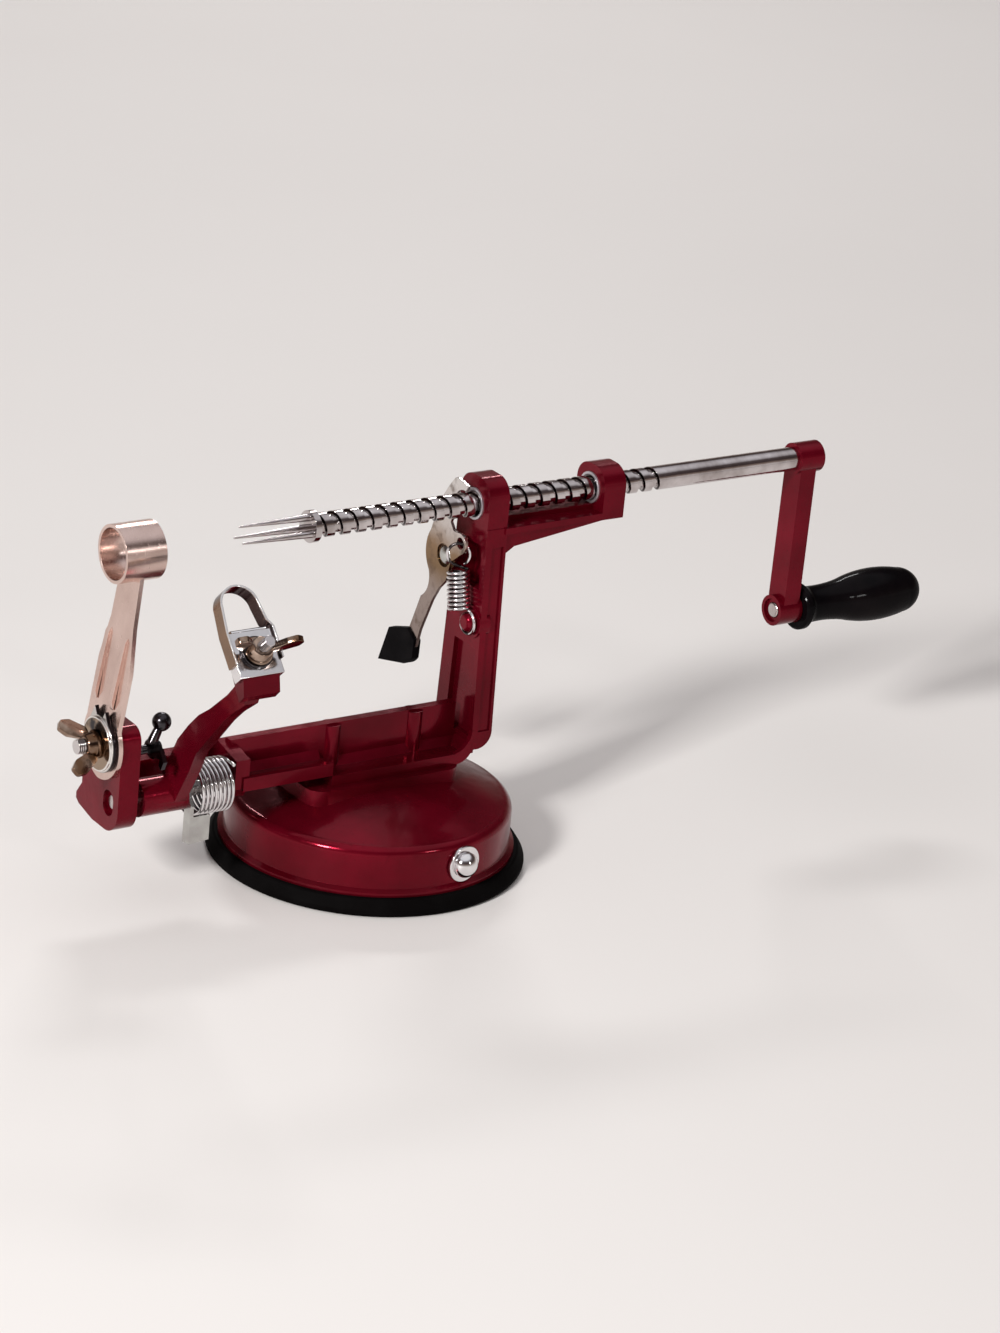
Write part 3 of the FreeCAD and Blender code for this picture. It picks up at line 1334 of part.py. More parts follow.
def latch_lever():
    plate = doc.addObject("PartDesign::Body", "latch_plate")
    across = size.latch_across
    height = size.latch_height
    left = size.latch_left
    right = left + size.latch_thickness
    pad(plate, "YZ", left, right,
        [
            Arc(across - 0.6, height + size.latch_hub, 4.6, True),
            (across - 7, height + 2.2), (across - 9.6, height - 1.4), (across - 8.2, height - 4.6),
            (across - 6.6, height - 3.6), (across - 7, height - 1.2), (across - 4, height - 1.8),
            Arc(across + size.latch_hub, height, 4.6, True),
        ])
    foot = (right - 1, across - 0.4, height + 2.2)
    reach = [float(a - b) for a, b in
             zip((size.knob_left, size.knob_across, size.knob_height), foot)]
    neck = cone("latch_neck", size.neck_foot, size.neck_top, Vector(*reach).Length, foot, reach)
    hub = cylinder("latch_hub", size.latch_hub - 0.6, size.latch_pin_right - 1.1 - left,
                   (left, across, height), (1, 0, 0))
    bore = cylinder("latch_bore", size.latch_pin_radius + size.running_gap, 20,
                    (left - 5, across, height), (1, 0, 0))
    ball = sphere("latch_ball_room", size.knob_radius, (size.knob_left, size.knob_across, size.knob_height))
    joined = fuse("latch_joined", plate, neck, hub)
    node("latch_lever", cut("latch_lever", joined, bore, ball))


def latch_knob():
    node("latch_knob", sphere("latch_knob", size.knob_radius,
                              (size.knob_left, size.knob_across, size.knob_height)))


for make in (
    base_housing, suction_cup, cup_core, cup_stem, suction_cam, cam_axle, axle_washer, axle_cap,
    suction_lever, lever_grip, base_screws, main_frame, feed_screw, food_fork, crank_arm, crank_pin,
    handle_grip, catch_lever, catch_tab_sleeve, catch_pivot_rivet, catch_spring, arm_pivot_pin,
    paring_arm, arm_lever_plate, arm_spring, blade_bracket, paring_blade, blade_guard, blade_bolt,
    blade_washer, blade_wing_nut, coring_blade, core_bolt, core_washers, core_wing_nut, latch_pin,
    latch_stop_pin, latch_lever, latch_knob,
):
    make()
bush("front_bush", size.post_left, size.post_right)
bush("rear_bush", size.rear_left, size.rear_right)
doc.recompute()

for thing in doc.Objects:
    if "Invalid" in thing.State or "Error" in thing.State:
        raise ValueError(f"{thing.Label} is {thing.State}")
for made in nodes:
    if made.Shape.isNull() or not made.Shape.isValid() or not made.Shape.Solids:
        raise ValueError(f"{made.Label} has no valid shape")

os.makedirs("parts", exist_ok=True)
for made in nodes:
    made.Shape.exportStep(f"parts/{made.Label}.step")
    bounds = made.Shape.BoundBox
    print(f"{made.Label}: {len(made.Shape.Solids)} solid(s), {made.Shape.Volume:.0f} mm3,",
          f"X {bounds.XMin:.1f} to {bounds.XMax:.1f}, Y {bounds.YMin:.1f} to {bounds.YMax:.1f},",
          f"Z {bounds.ZMin:.1f} to {bounds.ZMax:.1f}")
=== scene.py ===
import json
import math
import bpy
import bmesh
from mathutils import Matrix, Vector

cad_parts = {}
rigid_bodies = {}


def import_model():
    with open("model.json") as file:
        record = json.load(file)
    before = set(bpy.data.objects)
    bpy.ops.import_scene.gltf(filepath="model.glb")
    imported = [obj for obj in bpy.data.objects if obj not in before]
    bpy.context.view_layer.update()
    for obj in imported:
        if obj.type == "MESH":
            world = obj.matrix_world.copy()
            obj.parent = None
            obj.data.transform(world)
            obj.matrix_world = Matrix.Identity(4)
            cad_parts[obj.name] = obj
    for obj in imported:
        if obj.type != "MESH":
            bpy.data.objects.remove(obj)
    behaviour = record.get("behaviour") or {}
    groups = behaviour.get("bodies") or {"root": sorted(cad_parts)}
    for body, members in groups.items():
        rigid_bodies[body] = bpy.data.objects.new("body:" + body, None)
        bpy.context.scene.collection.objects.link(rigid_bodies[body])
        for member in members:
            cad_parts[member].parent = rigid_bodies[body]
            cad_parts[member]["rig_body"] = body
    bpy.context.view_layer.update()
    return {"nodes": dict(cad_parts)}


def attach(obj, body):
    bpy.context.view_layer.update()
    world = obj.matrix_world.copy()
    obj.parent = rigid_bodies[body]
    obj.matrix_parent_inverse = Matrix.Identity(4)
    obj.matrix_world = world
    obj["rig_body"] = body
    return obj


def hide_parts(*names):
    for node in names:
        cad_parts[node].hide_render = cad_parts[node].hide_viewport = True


print("frame")
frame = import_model()
scene = bpy.context.scene
millimetre = 0.001
unitTilt = 47  # degrees that the blade and its clamp lean from upright

# the photograph's viewpoint
cameraSetting = {
    "place": (-0.7656, -1.1173, 0.6172),
    "azimuth": -36.17,
    "elevation": 21.85,
    "roll": 5.738,
    "lens": 113.5,
    "sensor": 36,
    "clip": (0.05, 20),
}


def makeCamera(setting):
    azimuth = math.radians(setting["azimuth"])
    elevation = math.radians(setting["elevation"])
    roll = math.radians(setting["roll"])
    back = Vector((math.sin(azimuth) * math.cos(elevation), -math.cos(azimuth) * math.cos(elevation),
                   math.sin(elevation)))
    right = Vector((math.cos(azimuth), math.sin(azimuth), 0))
    up = back.cross(right)
    sideways = right * math.cos(roll) + up * math.sin(roll)
    upwards = up * math.cos(roll) - right * math.sin(roll)
    turned = Matrix((sideways, upwards, back)).transposed().to_4x4()
    camera = bpy.data.objects.new("photoCamera", bpy.data.cameras.new("photoCamera"))
    camera.matrix_world = Matrix.Translation(setting["place"]) @ turned
    camera.data.lens = setting["lens"]
    camera.data.sensor_width = setting["sensor"]
    camera.data.clip_start, camera.data.clip_end = setting["clip"]
    scene.collection.objects.link(camera)
    scene.camera = camera


makeCamera(cameraSetting)


# shader maths on sockets
class Wire:
    def __init__(self, finish, socket):
        self.finish = finish
        self.socket = socket

    def maths(self, operation, *values):
        return self.finish.node("ShaderNodeMath", {"operation": operation}, dict(enumerate(values)))

    def __add__(self, other):
        return self.maths("ADD", self, other)

    __radd__ = __add__

    def __sub__(self, other):
        return self.maths("SUBTRACT", self, other)

    def __rsub__(self, other):
        return self.maths("SUBTRACT", other, self)

    def __mul__(self, other):
        return self.maths("MULTIPLY", self, other)

    __rmul__ = __mul__

    def __pow__(self, other):
        return self.maths("POWER", self, other)

    def sine(self):
        return self.maths("SINE", self)


def setStops(ramp, stops):
    while len(ramp.elements) < len(stops):
        ramp.elements.new(1)
    for element, (position, colour) in zip(ramp.elements, stops):
        element.position = position
        element.color = colour


# a material on object coordinates, and the nodes that its patterns are made of
class Finish:
    def __init__(self, name, **steady):
        self.material = bpy.data.materials.new(name)
        self.material.use_nodes = True
        self.tree = self.material.node_tree
        self.shader = self.tree.nodes["Principled BSDF"]
        for socket, value in steady.items():
            self.shader.inputs[socket.replace("_", " ")].default_value = value
        self.place = self.node("ShaderNodeTexCoord", {}, {}, "Object")

    def node(self, kind, settings, values, output=0):
        made = self.tree.nodes.new(kind)
        for name, value in settings.items():
            if name == "stops":
                setStops(made.color_ramp, value)
            else:
                setattr(made, name, value)
        for key, value in values.items():
            if isinstance(value, Wire):
                self.tree.links.new(value.socket, made.inputs[key])
            else:
                made.inputs[key].default_value = value
        return Wire(self, made.outputs[output])

    def noise(self, scale, detail, roughness, stretch=None):
        place = self.place
        if stretch:
            place = self.node("ShaderNodeMapping", {}, {"Vector": self.place, "Scale": stretch})
        return self.node("ShaderNodeTexNoise", {}, {"Vector": place, "Scale": scale, "Detail": detail,
                                                    "Roughness": roughness})

    def along(self, way):
        values = {0: self.place, 1: way}
        return self.node("ShaderNodeVectorMath", {"operation": "DOT_PRODUCT"}, values, "Value")

    def fromAxis(self, first, firstMiddle, second, secondMiddle):
        aside = first - firstMiddle
        above = second - secondMiddle
        return (aside * aside + above * above) ** 0.5

    def ramp(self, value, stops):
        return self.node("ShaderNodeValToRGB", {"stops": stops}, {"Fac": value})

    def between(self, value, low, high):
        return self.node("ShaderNodeMapRange", {"clamp": True},
                         {"Value": value, "From Min": low, "From Max": high})

    def past(self, value, edge, blur):
        return self.between(value, edge - blur, edge + blur)

    def spread(self, value, low, high):
        return value * (high - low) + low

    def blend(self, amount, first, second):
        return self.node("ShaderNodeMix", {"data_type": "RGBA"}, {0: amount, 6: first, 7: second}, 2)

    def bump(self, height, distance, strength, under=None):
        values = {"Height": height, "Distance": distance, "Strength": strength}
        if under:
            values["Normal"] = under
        return self.node("ShaderNodeBump", {}, values)

    def set(self, **wires):
        for socket, wire in wires.items():
            self.tree.links.new(wire.socket, self.shader.inputs[socket.replace("_", " ")])
        return self.material


def shade(red, green, blue):
    return (red, green, blue, 1)


# in these dictionaries a pattern is a noise's scale, detail, roughness and stretch, a bump is its depth and
# strength, and roughness and coat are their least and most
print("materials")
enamelSetting = {
    "deep": shade(0.092, 0.0012, 0.006),
    "full": shade(0.142, 0.0018, 0.010),
    "warm": shade(0.190, 0.0036, 0.015),
    "toneStops": (0.32, 0.52, 0.72),
    "broad": (28, 3, 0.55),
    "fine": (240, 2, 0.5),
    "peel": (900, 1, 0.4),
    "dust": (620, 0, 0.5),
    "dustEdges": (0.70, 0.78),
    "dustShare": 0.35,
    "lumps": (1.1 * millimetre, 0.40),
    "ripple": (0.10 * millimetre, 0.45),
    "skin": (0.025 * millimetre, 0.5),
    "roughness": (0.13, 0.23),
    "coat": (0.15, 0.09),
}


def enamelFinish(setting):
    made = Finish("deepRedEnamel", Coat_Roughness=0.05, Specular_IOR_Level=0.07, Metallic=0.55)
    broad = made.noise(*setting["broad"])
    fine = made.noise(*setting["fine"])
    tones = (setting["deep"], setting["full"], setting["warm"])
    tone = made.ramp(broad, list(zip(setting["toneStops"], tones)))
    specks = made.between(made.noise(*setting["dust"]), *setting["dustEdges"])
    tone = made.blend(specks * setting["dustShare"], tone, setting["deep"])
    lumps = made.bump(broad, *setting["lumps"])
    ripple = made.bump(fine, *setting["ripple"], lumps)
    skin = made.bump(made.noise(*setting["peel"]), *setting["skin"], ripple)
    return made.set(Base_Color=tone, Roughness=made.spread(fine, *setting["roughness"]), Normal=skin,
                    Coat_Weight=made.spread(broad, *setting["coat"]))


chromeTones = {
    "warm": {"bright": shade(0.62, 0.58, 0.58), "dull": shade(0.38, 0.33, 0.32)},
    "white": {"bright": shade(0.90, 0.89, 0.90), "dull": shade(0.74, 0.71, 0.72)},
}
chromeSetting = {
    "cloud": (60, 3, 0.6),
    "cloudEdges": (0.35, 0.75),
    "hair": (700, 2, 0.5, (0.25, 1, 1)),
    "swell": (90, 1, 0.5),
    "grain": (0.02 * millimetre, 0.25),
    "waves": (0.25 * millimetre, 0.25),
    "roughness": (0.05, 0.17),
}


def chromeFinish(setting, tones, name):
    made = Finish(name, Metallic=1.0)
    cloud = made.noise(*setting["cloud"])
    tone = made.blend(made.between(cloud, *setting["cloudEdges"]), tones["bright"], tones["dull"])
    grain = made.bump(made.noise(*setting["hair"]), *setting["grain"])
    waves = made.bump(made.noise(*setting["swell"]), *setting["waves"], grain)
    return made.set(Base_Color=tone, Roughness=made.spread(cloud, *setting["roughness"]), Normal=waves)


# the walls of the thread's groove get painted shade, dark between its bright land and floor
screwSetting = {
    "land": shade(0.66, 0.61, 0.61),
    "dull": shade(0.42, 0.37, 0.36),
    "wall": shade(0.03, 0.02, 0.02),
    "height": 0.1262,
    "radius": 4.35 * millimetre,
    "floorEdges": (0.765, 0.81),  # shares of the radius
    "landEdges": (0.94, 0.985),
    "cloud": (85, 3, 0.6),
    "cloudEdges": (0.40, 0.66),
    "hair": (900, 2, 0.5, (0.25, 1, 1)),
    "grain": (0.02 * millimetre, 0.25),
    "waves": (0.3 * millimetre, 0.25),
    "roughness": (0.05, 0.17),
}


def screwFinish(setting):
    made = Finish("rolledThreadSteel", Metallic=1.0)
    cloud = made.noise(*setting["cloud"])
    hair = made.noise(*setting["hair"])
    reach = made.fromAxis(made.along((0, 1, 0)), 0, made.along((0, 0, 1)), setting["height"])
    tone = made.blend(made.between(cloud, *setting["cloudEdges"]), setting["land"], setting["dull"])
    overFloor = made.between(reach, *[share * setting["radius"] for share in setting["floorEdges"]])
    overWall = made.between(reach, *[share * setting["radius"] for share in setting["landEdges"]])
    # painted shade on the groove's walls
    tone = made.blend(overFloor - overWall, tone, setting["wall"])
    waves = made.bump(cloud, *setting["waves"], made.bump(hair, *setting["grain"]))
    return made.set(Base_Color=tone, Roughness=made.spread(hair, *setting["roughness"]), Normal=waves)


nutSetting = {
    "bright": shade(0.46, 0.35, 0.28),
    "brown": shade(0.15, 0.08, 0.045),
    "cloud": (95, 3, 0.55),
    "cloudEdges": (0.38, 0.62),
    "cast": (420, 3, 0.6),
    "dents": (0.5 * millimetre, 0.35),
    "pits": (0.05 * millimetre, 0.4),
    "roughness": (0.06, 0.20),
}


def nutFinish(setting):
    made = Finish("warmPlatedNut", Metallic=1.0)
    cloud = made.noise(*setting["cloud"])
    cast = made.noise(*setting["cast"])
    tone = made.blend(made.between(cloud, *setting["cloudEdges"]), setting["brown"], setting["bright"])
    pitted = made.bump(cast, *setting["pits"], made.bump(cloud, *setting["dents"]))
    return made.set(Base_Color=tone, Roughness=made.spread(cast, *setting["roughness"]), Normal=pitted)


# bolts whose ends show the thread, which runs along their axis, with painted shade in the thread's roots
threadSetting = {
    "bright": shade(0.74, 0.70, 0.70),
    # painted shade for the thread's roots
    "root": shade(0.07, 0.055, 0.06),
    "pitch": 0.8 * millimetre,
    "rootShadeEdges": (-0.7, 0.1),  # of a ridge between -1 and 1
    "cut": (0.22 * millimetre, 0.9),
    "grit": (1300, 2, 0.6),
    "grain": (0.02 * millimetre, 0.4),
    "roughness": (0.10, 0.24),
}


def threadFinish(setting, name, way):
    made = Finish(name, Metallic=1.0)
    ridge = (made.along(way) * (2 * math.pi / setting["pitch"])).sine()
    grit = made.noise(*setting["grit"])
    # painted shade in the thread's roots
    tone = made.blend(made.between(ridge, *setting["rootShadeEdges"]), setting["root"], setting["bright"])
    worn = made.bump(grit, *setting["grain"], made.bump(ridge, *setting["cut"]))
    return made.set(Base_Color=tone, Roughness=made.spread(grit, *setting["roughness"]), Normal=worn)


sheetTones = {
    "plain": {"bright": shade(0.66, 0.62, 0.61), "worn": shade(0.44, 0.38, 0.36)},
    "strip": {"bright": shade(0.78, 0.60, 0.54), "worn": shade(0.58, 0.42, 0.37)},
    "plate": {"bright": shade(0.62, 0.63, 0.60), "worn": shade(0.30, 0.27, 0.27)},
}
sheetSetting = {
    "cloud": (70, 4, 0.6),
    "cloudEdges": (0.3, 0.8),
    "rolled": (500, 3, 0.6, (1, 1, 0.12)),
    "scratches": (1400, 1, 0.5, (1, 1, 0.05)),
    "scratchEdges": (0.62, 0.75),
    "scratchRoughness": 0.08,
    "grain": (0.03 * millimetre, 0.35),
    "marks": (-0.02 * millimetre, 0.4),
    "roughness": (0.14, 0.30),
}


def sheetFinish(setting, tones, name):
    made = Finish(name, Metallic=1.0)
    cloud = made.noise(*setting["cloud"])
    rolled = made.noise(*setting["rolled"])
    scuffs = made.between(made.noise(*setting["scratches"]), *setting["scratchEdges"])
    tone = made.blend(made.between(cloud, *setting["cloudEdges"]), tones["bright"], tones["worn"])
    marks = made.bump(scuffs, *setting["marks"], made.bump(rolled, *setting["grain"]))
    rough = made.spread(rolled, *setting["roughness"]) + scuffs * setting["scratchRoughness"]
    return made.set(Base_Color=tone, Roughness=rough, Normal=marks)


# the catch lever is light at its top, bronze beside the post and brown towards its tab
catchSetting = {
    "tones": ((0.0, shade(0.26, 0.20, 0.18)), (0.42, shade(0.36, 0.29, 0.26)),
              (0.56, shade(0.24, 0.15, 0.08)), (0.66, shade(0.30, 0.19, 0.11)),
              (0.76, shade(0.66, 0.60, 0.57)), (1.0, shade(0.76, 0.73, 0.71))),
    "heights": (0.055, 0.135),
    "drift": 0.12,  # how far a tone strays from its height, as a share of these heights
    "cloud": (80, 4, 0.6),
    "streak": shade(0.12, 0.075, 0.05),
    "streaks": (210, 3, 0.6),
    "streakEdges": (0.50, 0.72),
    "streakShare": 0.7,
    "rolled": (500, 3, 0.6, (1, 1, 0.12)),
    "grain": (0.03 * millimetre, 0.35),
    "roughness": (0.14, 0.30),
}


def catchFinish(setting):
    made = Finish("tonedCatchSteel", Metallic=1.0)
    cloud = made.noise(*setting["cloud"])
    rolled = made.noise(*setting["rolled"])
    height = made.between(made.along((0, 0, 1)), *setting["heights"])
    tone = made.ramp(height + cloud * setting["drift"] - setting["drift"] / 2, setting["tones"])
    streaks = made.between(made.noise(*setting["streaks"]), *setting["streakEdges"])
    tone = made.blend(streaks * setting["streakShare"], tone, setting["streak"])
    return made.set(Base_Color=tone, Roughness=made.spread(rolled, *setting["roughness"]),
                    Normal=made.bump(rolled, *setting["grain"]))


# the blade is dark beside its bright front edge, and its left leg is brown
unitWay = (0, -math.sin(math.radians(unitTilt)), math.cos(math.radians(unitTilt)))
bladeSetting = {
    "edge": shade(0.86, 0.84, 0.83),
    "dark": shade(0.075, 0.055, 0.055),
    "brown": shade(0.27, 0.17, 0.11),
    "front": 0.1104,  # where the ground edge starts along unitWay
    "frontBlur": 0.2 * millimetre,
    "leg": (0.0896, 0.0912),  # where the left leg starts, along -X
    "legShare": (0.5, 1.3),
    "cloud": (120, 3, 0.6),
    "ground": (600, 3, 0.6, (1, 0.15, 0.15)),
    "grain": (0.03 * millimetre, 0.35),
    "roughness": (0.10, 0.24),
}


def bladeFinish(setting):
    made = Finish("brownLegBladeSteel", Metallic=1.0)
    ground = made.noise(*setting["ground"])
    cloud = made.noise(*setting["cloud"])
    leg = made.between(made.along((-1, 0, 0)), *setting["leg"])
    tone = made.blend(leg * made.spread(cloud, *setting["legShare"]), setting["dark"], setting["brown"])
    front = made.past(made.along(unitWay), setting["front"], setting["frontBlur"])
    tone = made.blend(front, tone, setting["edge"])
    return made.set(Base_Color=tone, Roughness=made.spread(ground, *setting["roughness"]),
                    Normal=made.bump(ground, *setting["grain"]))


# spring wire is bright outside its coil, with painted shade on the wire inside the coil
springSetting = {
    "bright": shade(0.74, 0.72, 0.73),
    "dark": shade(0.07, 0.06, 0.06),
    "outerEdges": (0.93, 1.03),  # shares of the coil's radius
    "cloud": (160, 3, 0.6),
    "stray": 0.3 * millimetre,
    "drawn": (1500, 2, 0.5),
    "grain": (0.01 * millimetre, 0.4),
    "roughness": (0.12, 0.26),
}
catchCoil = {"x": 0.0285, "y": -0.0009, "z": 0.1022, "lean": 0.178, "radius": 3.55 * millimetre}
armCoil = {"y": -0.0055, "z": 0.0388, "radius": 8.9 * millimetre}


def springFinish(setting, name, fromCoil, coil):
    made = Finish(name, Metallic=1.0)
    cloud = made.noise(*setting["cloud"])
    drawn = made.noise(*setting["drawn"])
    reach = fromCoil(made, coil) + cloud * setting["stray"]
    outside = made.between(reach, *[share * coil["radius"] for share in setting["outerEdges"]])
    # painted shade on the wire inside the coil
    tone = made.blend(outside, setting["dark"], setting["bright"])
    return made.set(Base_Color=tone, Roughness=made.spread(drawn, *setting["roughness"]),
                    Normal=made.bump(drawn, *setting["grain"]))


def fromCatchCoil(made, coil):
    x, y, z = [made.along(way) for way in ((1, 0, 0), (0, 1, 0), (0, 0, 1))]
    return made.fromAxis(x, coil["x"], y, (z - coil["z"]) * coil["lean"] + coil["y"])


def fromArmCoil(made, coil):
    return made.fromAxis(made.along((0, 1, 0)), coil["y"], made.along((0, 0, 1)), coil["z"])


# the bright washer lies on the dark one; the bright one's face is brownish as a painted reflection of the
# coring strip, and its rim carries a painted highlight
washerSetting = {
    "dark": shade(0.030, 0.024, 0.026),
    "face": shade(0.34, 0.25, 0.18),
    "rim": shade(0.86, 0.83, 0.80),
    "y": -0.0022,
    "z": 0.0597,
    "radius": 9.4 * millimetre,
    "rimHighlightEdges": (0.93, 0.96),  # shares of the radius
    "seam": 0.1121,  # where the bright one starts, along -X
    "seamBlur": 0.05 * millimetre,
    "cloud": (130, 3, 0.6),
    "cloudEdges": (0.45, 0.6),
    "turned": (900, 2, 0.5, (1, 0.3, 0.3)),
    "grain": (0.02 * millimetre, 0.4),
    "roughness": (0.12, 0.24),
}


def washerFinish(setting):
    made = Finish("washerPair", Metallic=1.0)
    turned = made.noise(*setting["turned"])
    cloud = made.noise(*setting["cloud"])
    reach = made.fromAxis(made.along((0, 1, 0)), setting["y"], made.along((0, 0, 1)), setting["z"])
    rim = made.between(reach, *[share * setting["radius"] for share in setting["rimHighlightEdges"]])
    front = made.past(made.along((-1, 0, 0)), setting["seam"], setting["seamBlur"])
    face = made.blend(made.between(cloud, *setting["cloudEdges"]), setting["face"], setting["dark"])
    # painted highlight on the bright washer's rim and painted reflection of the strip on its face
    tone = made.blend(front, setting["dark"], made.blend(rim, face, setting["rim"]))
    return made.set(Base_Color=tone, Roughness=made.spread(turned, *setting["roughness"]),
                    Normal=made.bump(turned, *setting["grain"]))


gripSetting = {
    "black": shade(0.0025, 0.002, 0.0025),
    "brown": shade(0.006, 0.004, 0.0045),
    "cloud": (55, 3, 0.6),
    "cloudEdges": (0.4, 0.75),
    "fine": (700, 2, 0.5),
    "swell": (0.3 * millimetre, 0.3),
    "grain": (0.02 * millimetre, 0.4),
    "roughness": (0.22, 0.36),
    "coat": (0.07, 0.13),
}


def gripFinish(setting):
    made = Finish("glossyBlackGrip", Coat_Roughness=0.06, Specular_IOR_Level=0.05, IOR=1.15)
    cloud = made.noise(*setting["cloud"])
    fine = made.noise(*setting["fine"])
    tone = made.blend(made.between(cloud, *setting["cloudEdges"]), setting["black"], setting["brown"])
    return made.set(Base_Color=tone, Roughness=made.spread(fine, *setting["roughness"]),
                    Coat_Weight=made.spread(cloud, *setting["coat"]),
                    Normal=made.bump(fine, *setting["grain"], made.bump(cloud, *setting["swell"])))


# finishes that have two tones in soft clouds under a fine grain
darkSetting = {
    "name": "darkPlatedSteel",
    "steady": {"Metallic": 1.0},
    "tones": (shade(0.055, 0.050, 0.055), shade(0.22, 0.20, 0.20)),
    "cloud": (110, 3, 0.6),
    "cloudEdges": (0.5, 0.8),
    "fine": (1300, 2, 0.6),
    "grain": (0.015 * millimetre, 0.5),
    "roughness": (0.14, 0.30),
    "roughBy": "fine",
}
bushSetting = {
    "name": "plainBushMetal",
    "steady": {"Metallic": 0.85},
    "tones": (shade(0.62, 0.60, 0.63), shade(0.42, 0.39, 0.42)),
    "cloud": (150, 3, 0.6),
    "cloudEdges": (0.4, 0.75),
    "fine": (1200, 2, 0.5, (1, 0.3, 0.3)),
    "grain": (0.02 * millimetre, 0.5),
    "roughness": (0.3, 0.5),
    "roughBy": "fine",
}
rubberSetting = {
    "name": "blackRubber",
    "steady": {"Specular_IOR_Level": 0.05, "IOR": 1.15},
    "tones": (shade(0.0030, 0.0025, 0.0025), shade(0.0055, 0.005, 0.005)),
    "cloud": (45, 4, 0.6),
    "cloudEdges": (0.4, 0.8),
    "fine": (1600, 2, 0.6),
    "grain": (0.03 * millimetre, 0.5),
    "roughness": (0.38, 0.63),
    "roughBy": "cloud",
}
vinylSetting = {
    "name": "dippedBlackVinyl",
    "steady": {"Specular_IOR_Level": 0.07, "IOR": 1.2},
    "tones": (shade(0.003, 0.0025, 0.003), shade(0.008, 0.007, 0.0075)),
    "cloud": (120, 3, 0.6),
    "cloudEdges": (0.4, 0.75),
    "fine": (900, 2, 0.55),
    "grain": (0.04 * millimetre, 0.5),
    "roughness": (0.34, 0.59),
    "roughBy": "cloud",
}


def cloudedFinish(setting):
    made = Finish(setting["name"], **setting["steady"])
    patterns = {name: made.noise(*setting[name]) for name in ("cloud", "fine")}
    tone = made.blend(made.between(patterns["cloud"], *setting["cloudEdges"]), *setting["tones"])
    rough = made.spread(patterns[setting["roughBy"]], *setting["roughness"])
    return made.set(Base_Color=tone, Roughness=rough, Normal=made.bump(patterns["fine"], *setting["grain"]))


enamel = enamelFinish(enamelSetting)
chrome = chromeFinish(chromeSetting, chromeTones["warm"], "polishedChrome")
whiteChrome = chromeFinish(chromeSetting, chromeTones["white"], "whiteChrome")
nutPlating = nutFinish(nutSetting)
coreThread = threadFinish(threadSetting, "coreBoltThread", (1, 0, 0))
bladeThread = threadFinish(threadSetting, "bladeBoltThread", unitWay)
screwSteel = screwFinish(screwSetting)
sheetSteel = sheetFinish(sheetSetting, sheetTones["plain"], "polishedSheetSteel")
stripSteel = sheetFinish(sheetSetting, sheetTones["strip"], "pinkishStripSteel")
plateSteel = sheetFinish(sheetSetting, sheetTones["plate"], "greyPlateSteel")
catchSteel = catchFinish(catchSetting)
bladeSteel = bladeFinish(bladeSetting)
catchWire = springFinish(springSetting, "catchSpringWire", fromCatchCoil, catchCoil)
armWire = springFinish(springSetting, "armSpringWire", fromArmCoil, armCoil)
washerPlating = washerFinish(washerSetting)
gripBlack = gripFinish(gripSetting)
darkSteel, bushMetal, rubber, vinyl = [cloudedFinish(setting) for setting in (darkSetting, bushSetting,
                                                                              rubberSetting, vinylSetting)]


def finished(name, mesh, material, node, smooth):
    mesh.materials.clear()
    mesh.materials.append(material)
    mesh.polygons.foreach_set("use_smooth", [True] * len(mesh.polygons))
    mesh.set_sharp_from_angle(angle=math.radians(smooth))
    piece = bpy.data.objects.new(name, mesh)
    scene.collection.objects.link(piece)
    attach(piece, frame["nodes"][node]["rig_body"])
    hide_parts(node)
    return piece


# pieces made from the solids, merged and given the rounded edges of the real ones; angles are in degrees and
# each piece's bevel is in millimetres
edgeSetting = {"merge": 0.002 * millimetre, "flat": 1.0, "smooth": 50, "sharp": 28, "segments": 3}


def mergedMesh(node, setting):
    mesh = frame["nodes"][node].data.copy()
    shell = bmesh.new()
    shell.from_mesh(mesh)
    bmesh.ops.remove_doubles(shell, verts=shell.verts, dist=setting["merge"])
    bmesh.ops.dissolve_limit(shell, angle_limit=math.radians(setting["flat"]), verts=shell.verts,
                             edges=shell.edges)
    bmesh.ops.recalc_face_normals(shell, faces=shell.faces)
    shell.to_mesh(mesh)
    shell.free()
    if "custom_normal" in mesh.attributes:
        mesh.attributes.remove(mesh.attributes["custom_normal"])
    return mesh


def dress(parts, setting):
    for part in parts:
        mesh = mergedMesh(part["node"], setting)
        piece = finished(part["name"], mesh, part["finish"], part["node"], setting["smooth"])
        if part["bevel"]:
            edge = piece.modifiers.new("edges", "BEVEL")
            edge.width = part["bevel"] * millimetre
            edge.segments = setting["segments"]
            edge.limit_method = "ANGLE"
            edge.angle_limit = math.radians(setting["sharp"])
            edge.use_clamp_overlap = True
            edge.miter_outer = "MITER_ARC"
            flats = piece.modifiers.new("flats", "WEIGHTED_NORMAL")
            flats.keep_sharp = True


print("castings")
castings = [
    {"name": "mainFrame", "node": "main_frame", "finish": enamel, "bevel": 0.9},
    {"name": "baseHousing", "node": "base_housing", "finish": enamel, "bevel": 0.7},
    {"name": "crankArm", "node": "crank_arm", "finish": enamel, "bevel": 0.8},
    {"name": "paringArm", "node": "paring_arm", "finish": enamel, "bevel": 0.7},
]
dress(castings, edgeSetting)

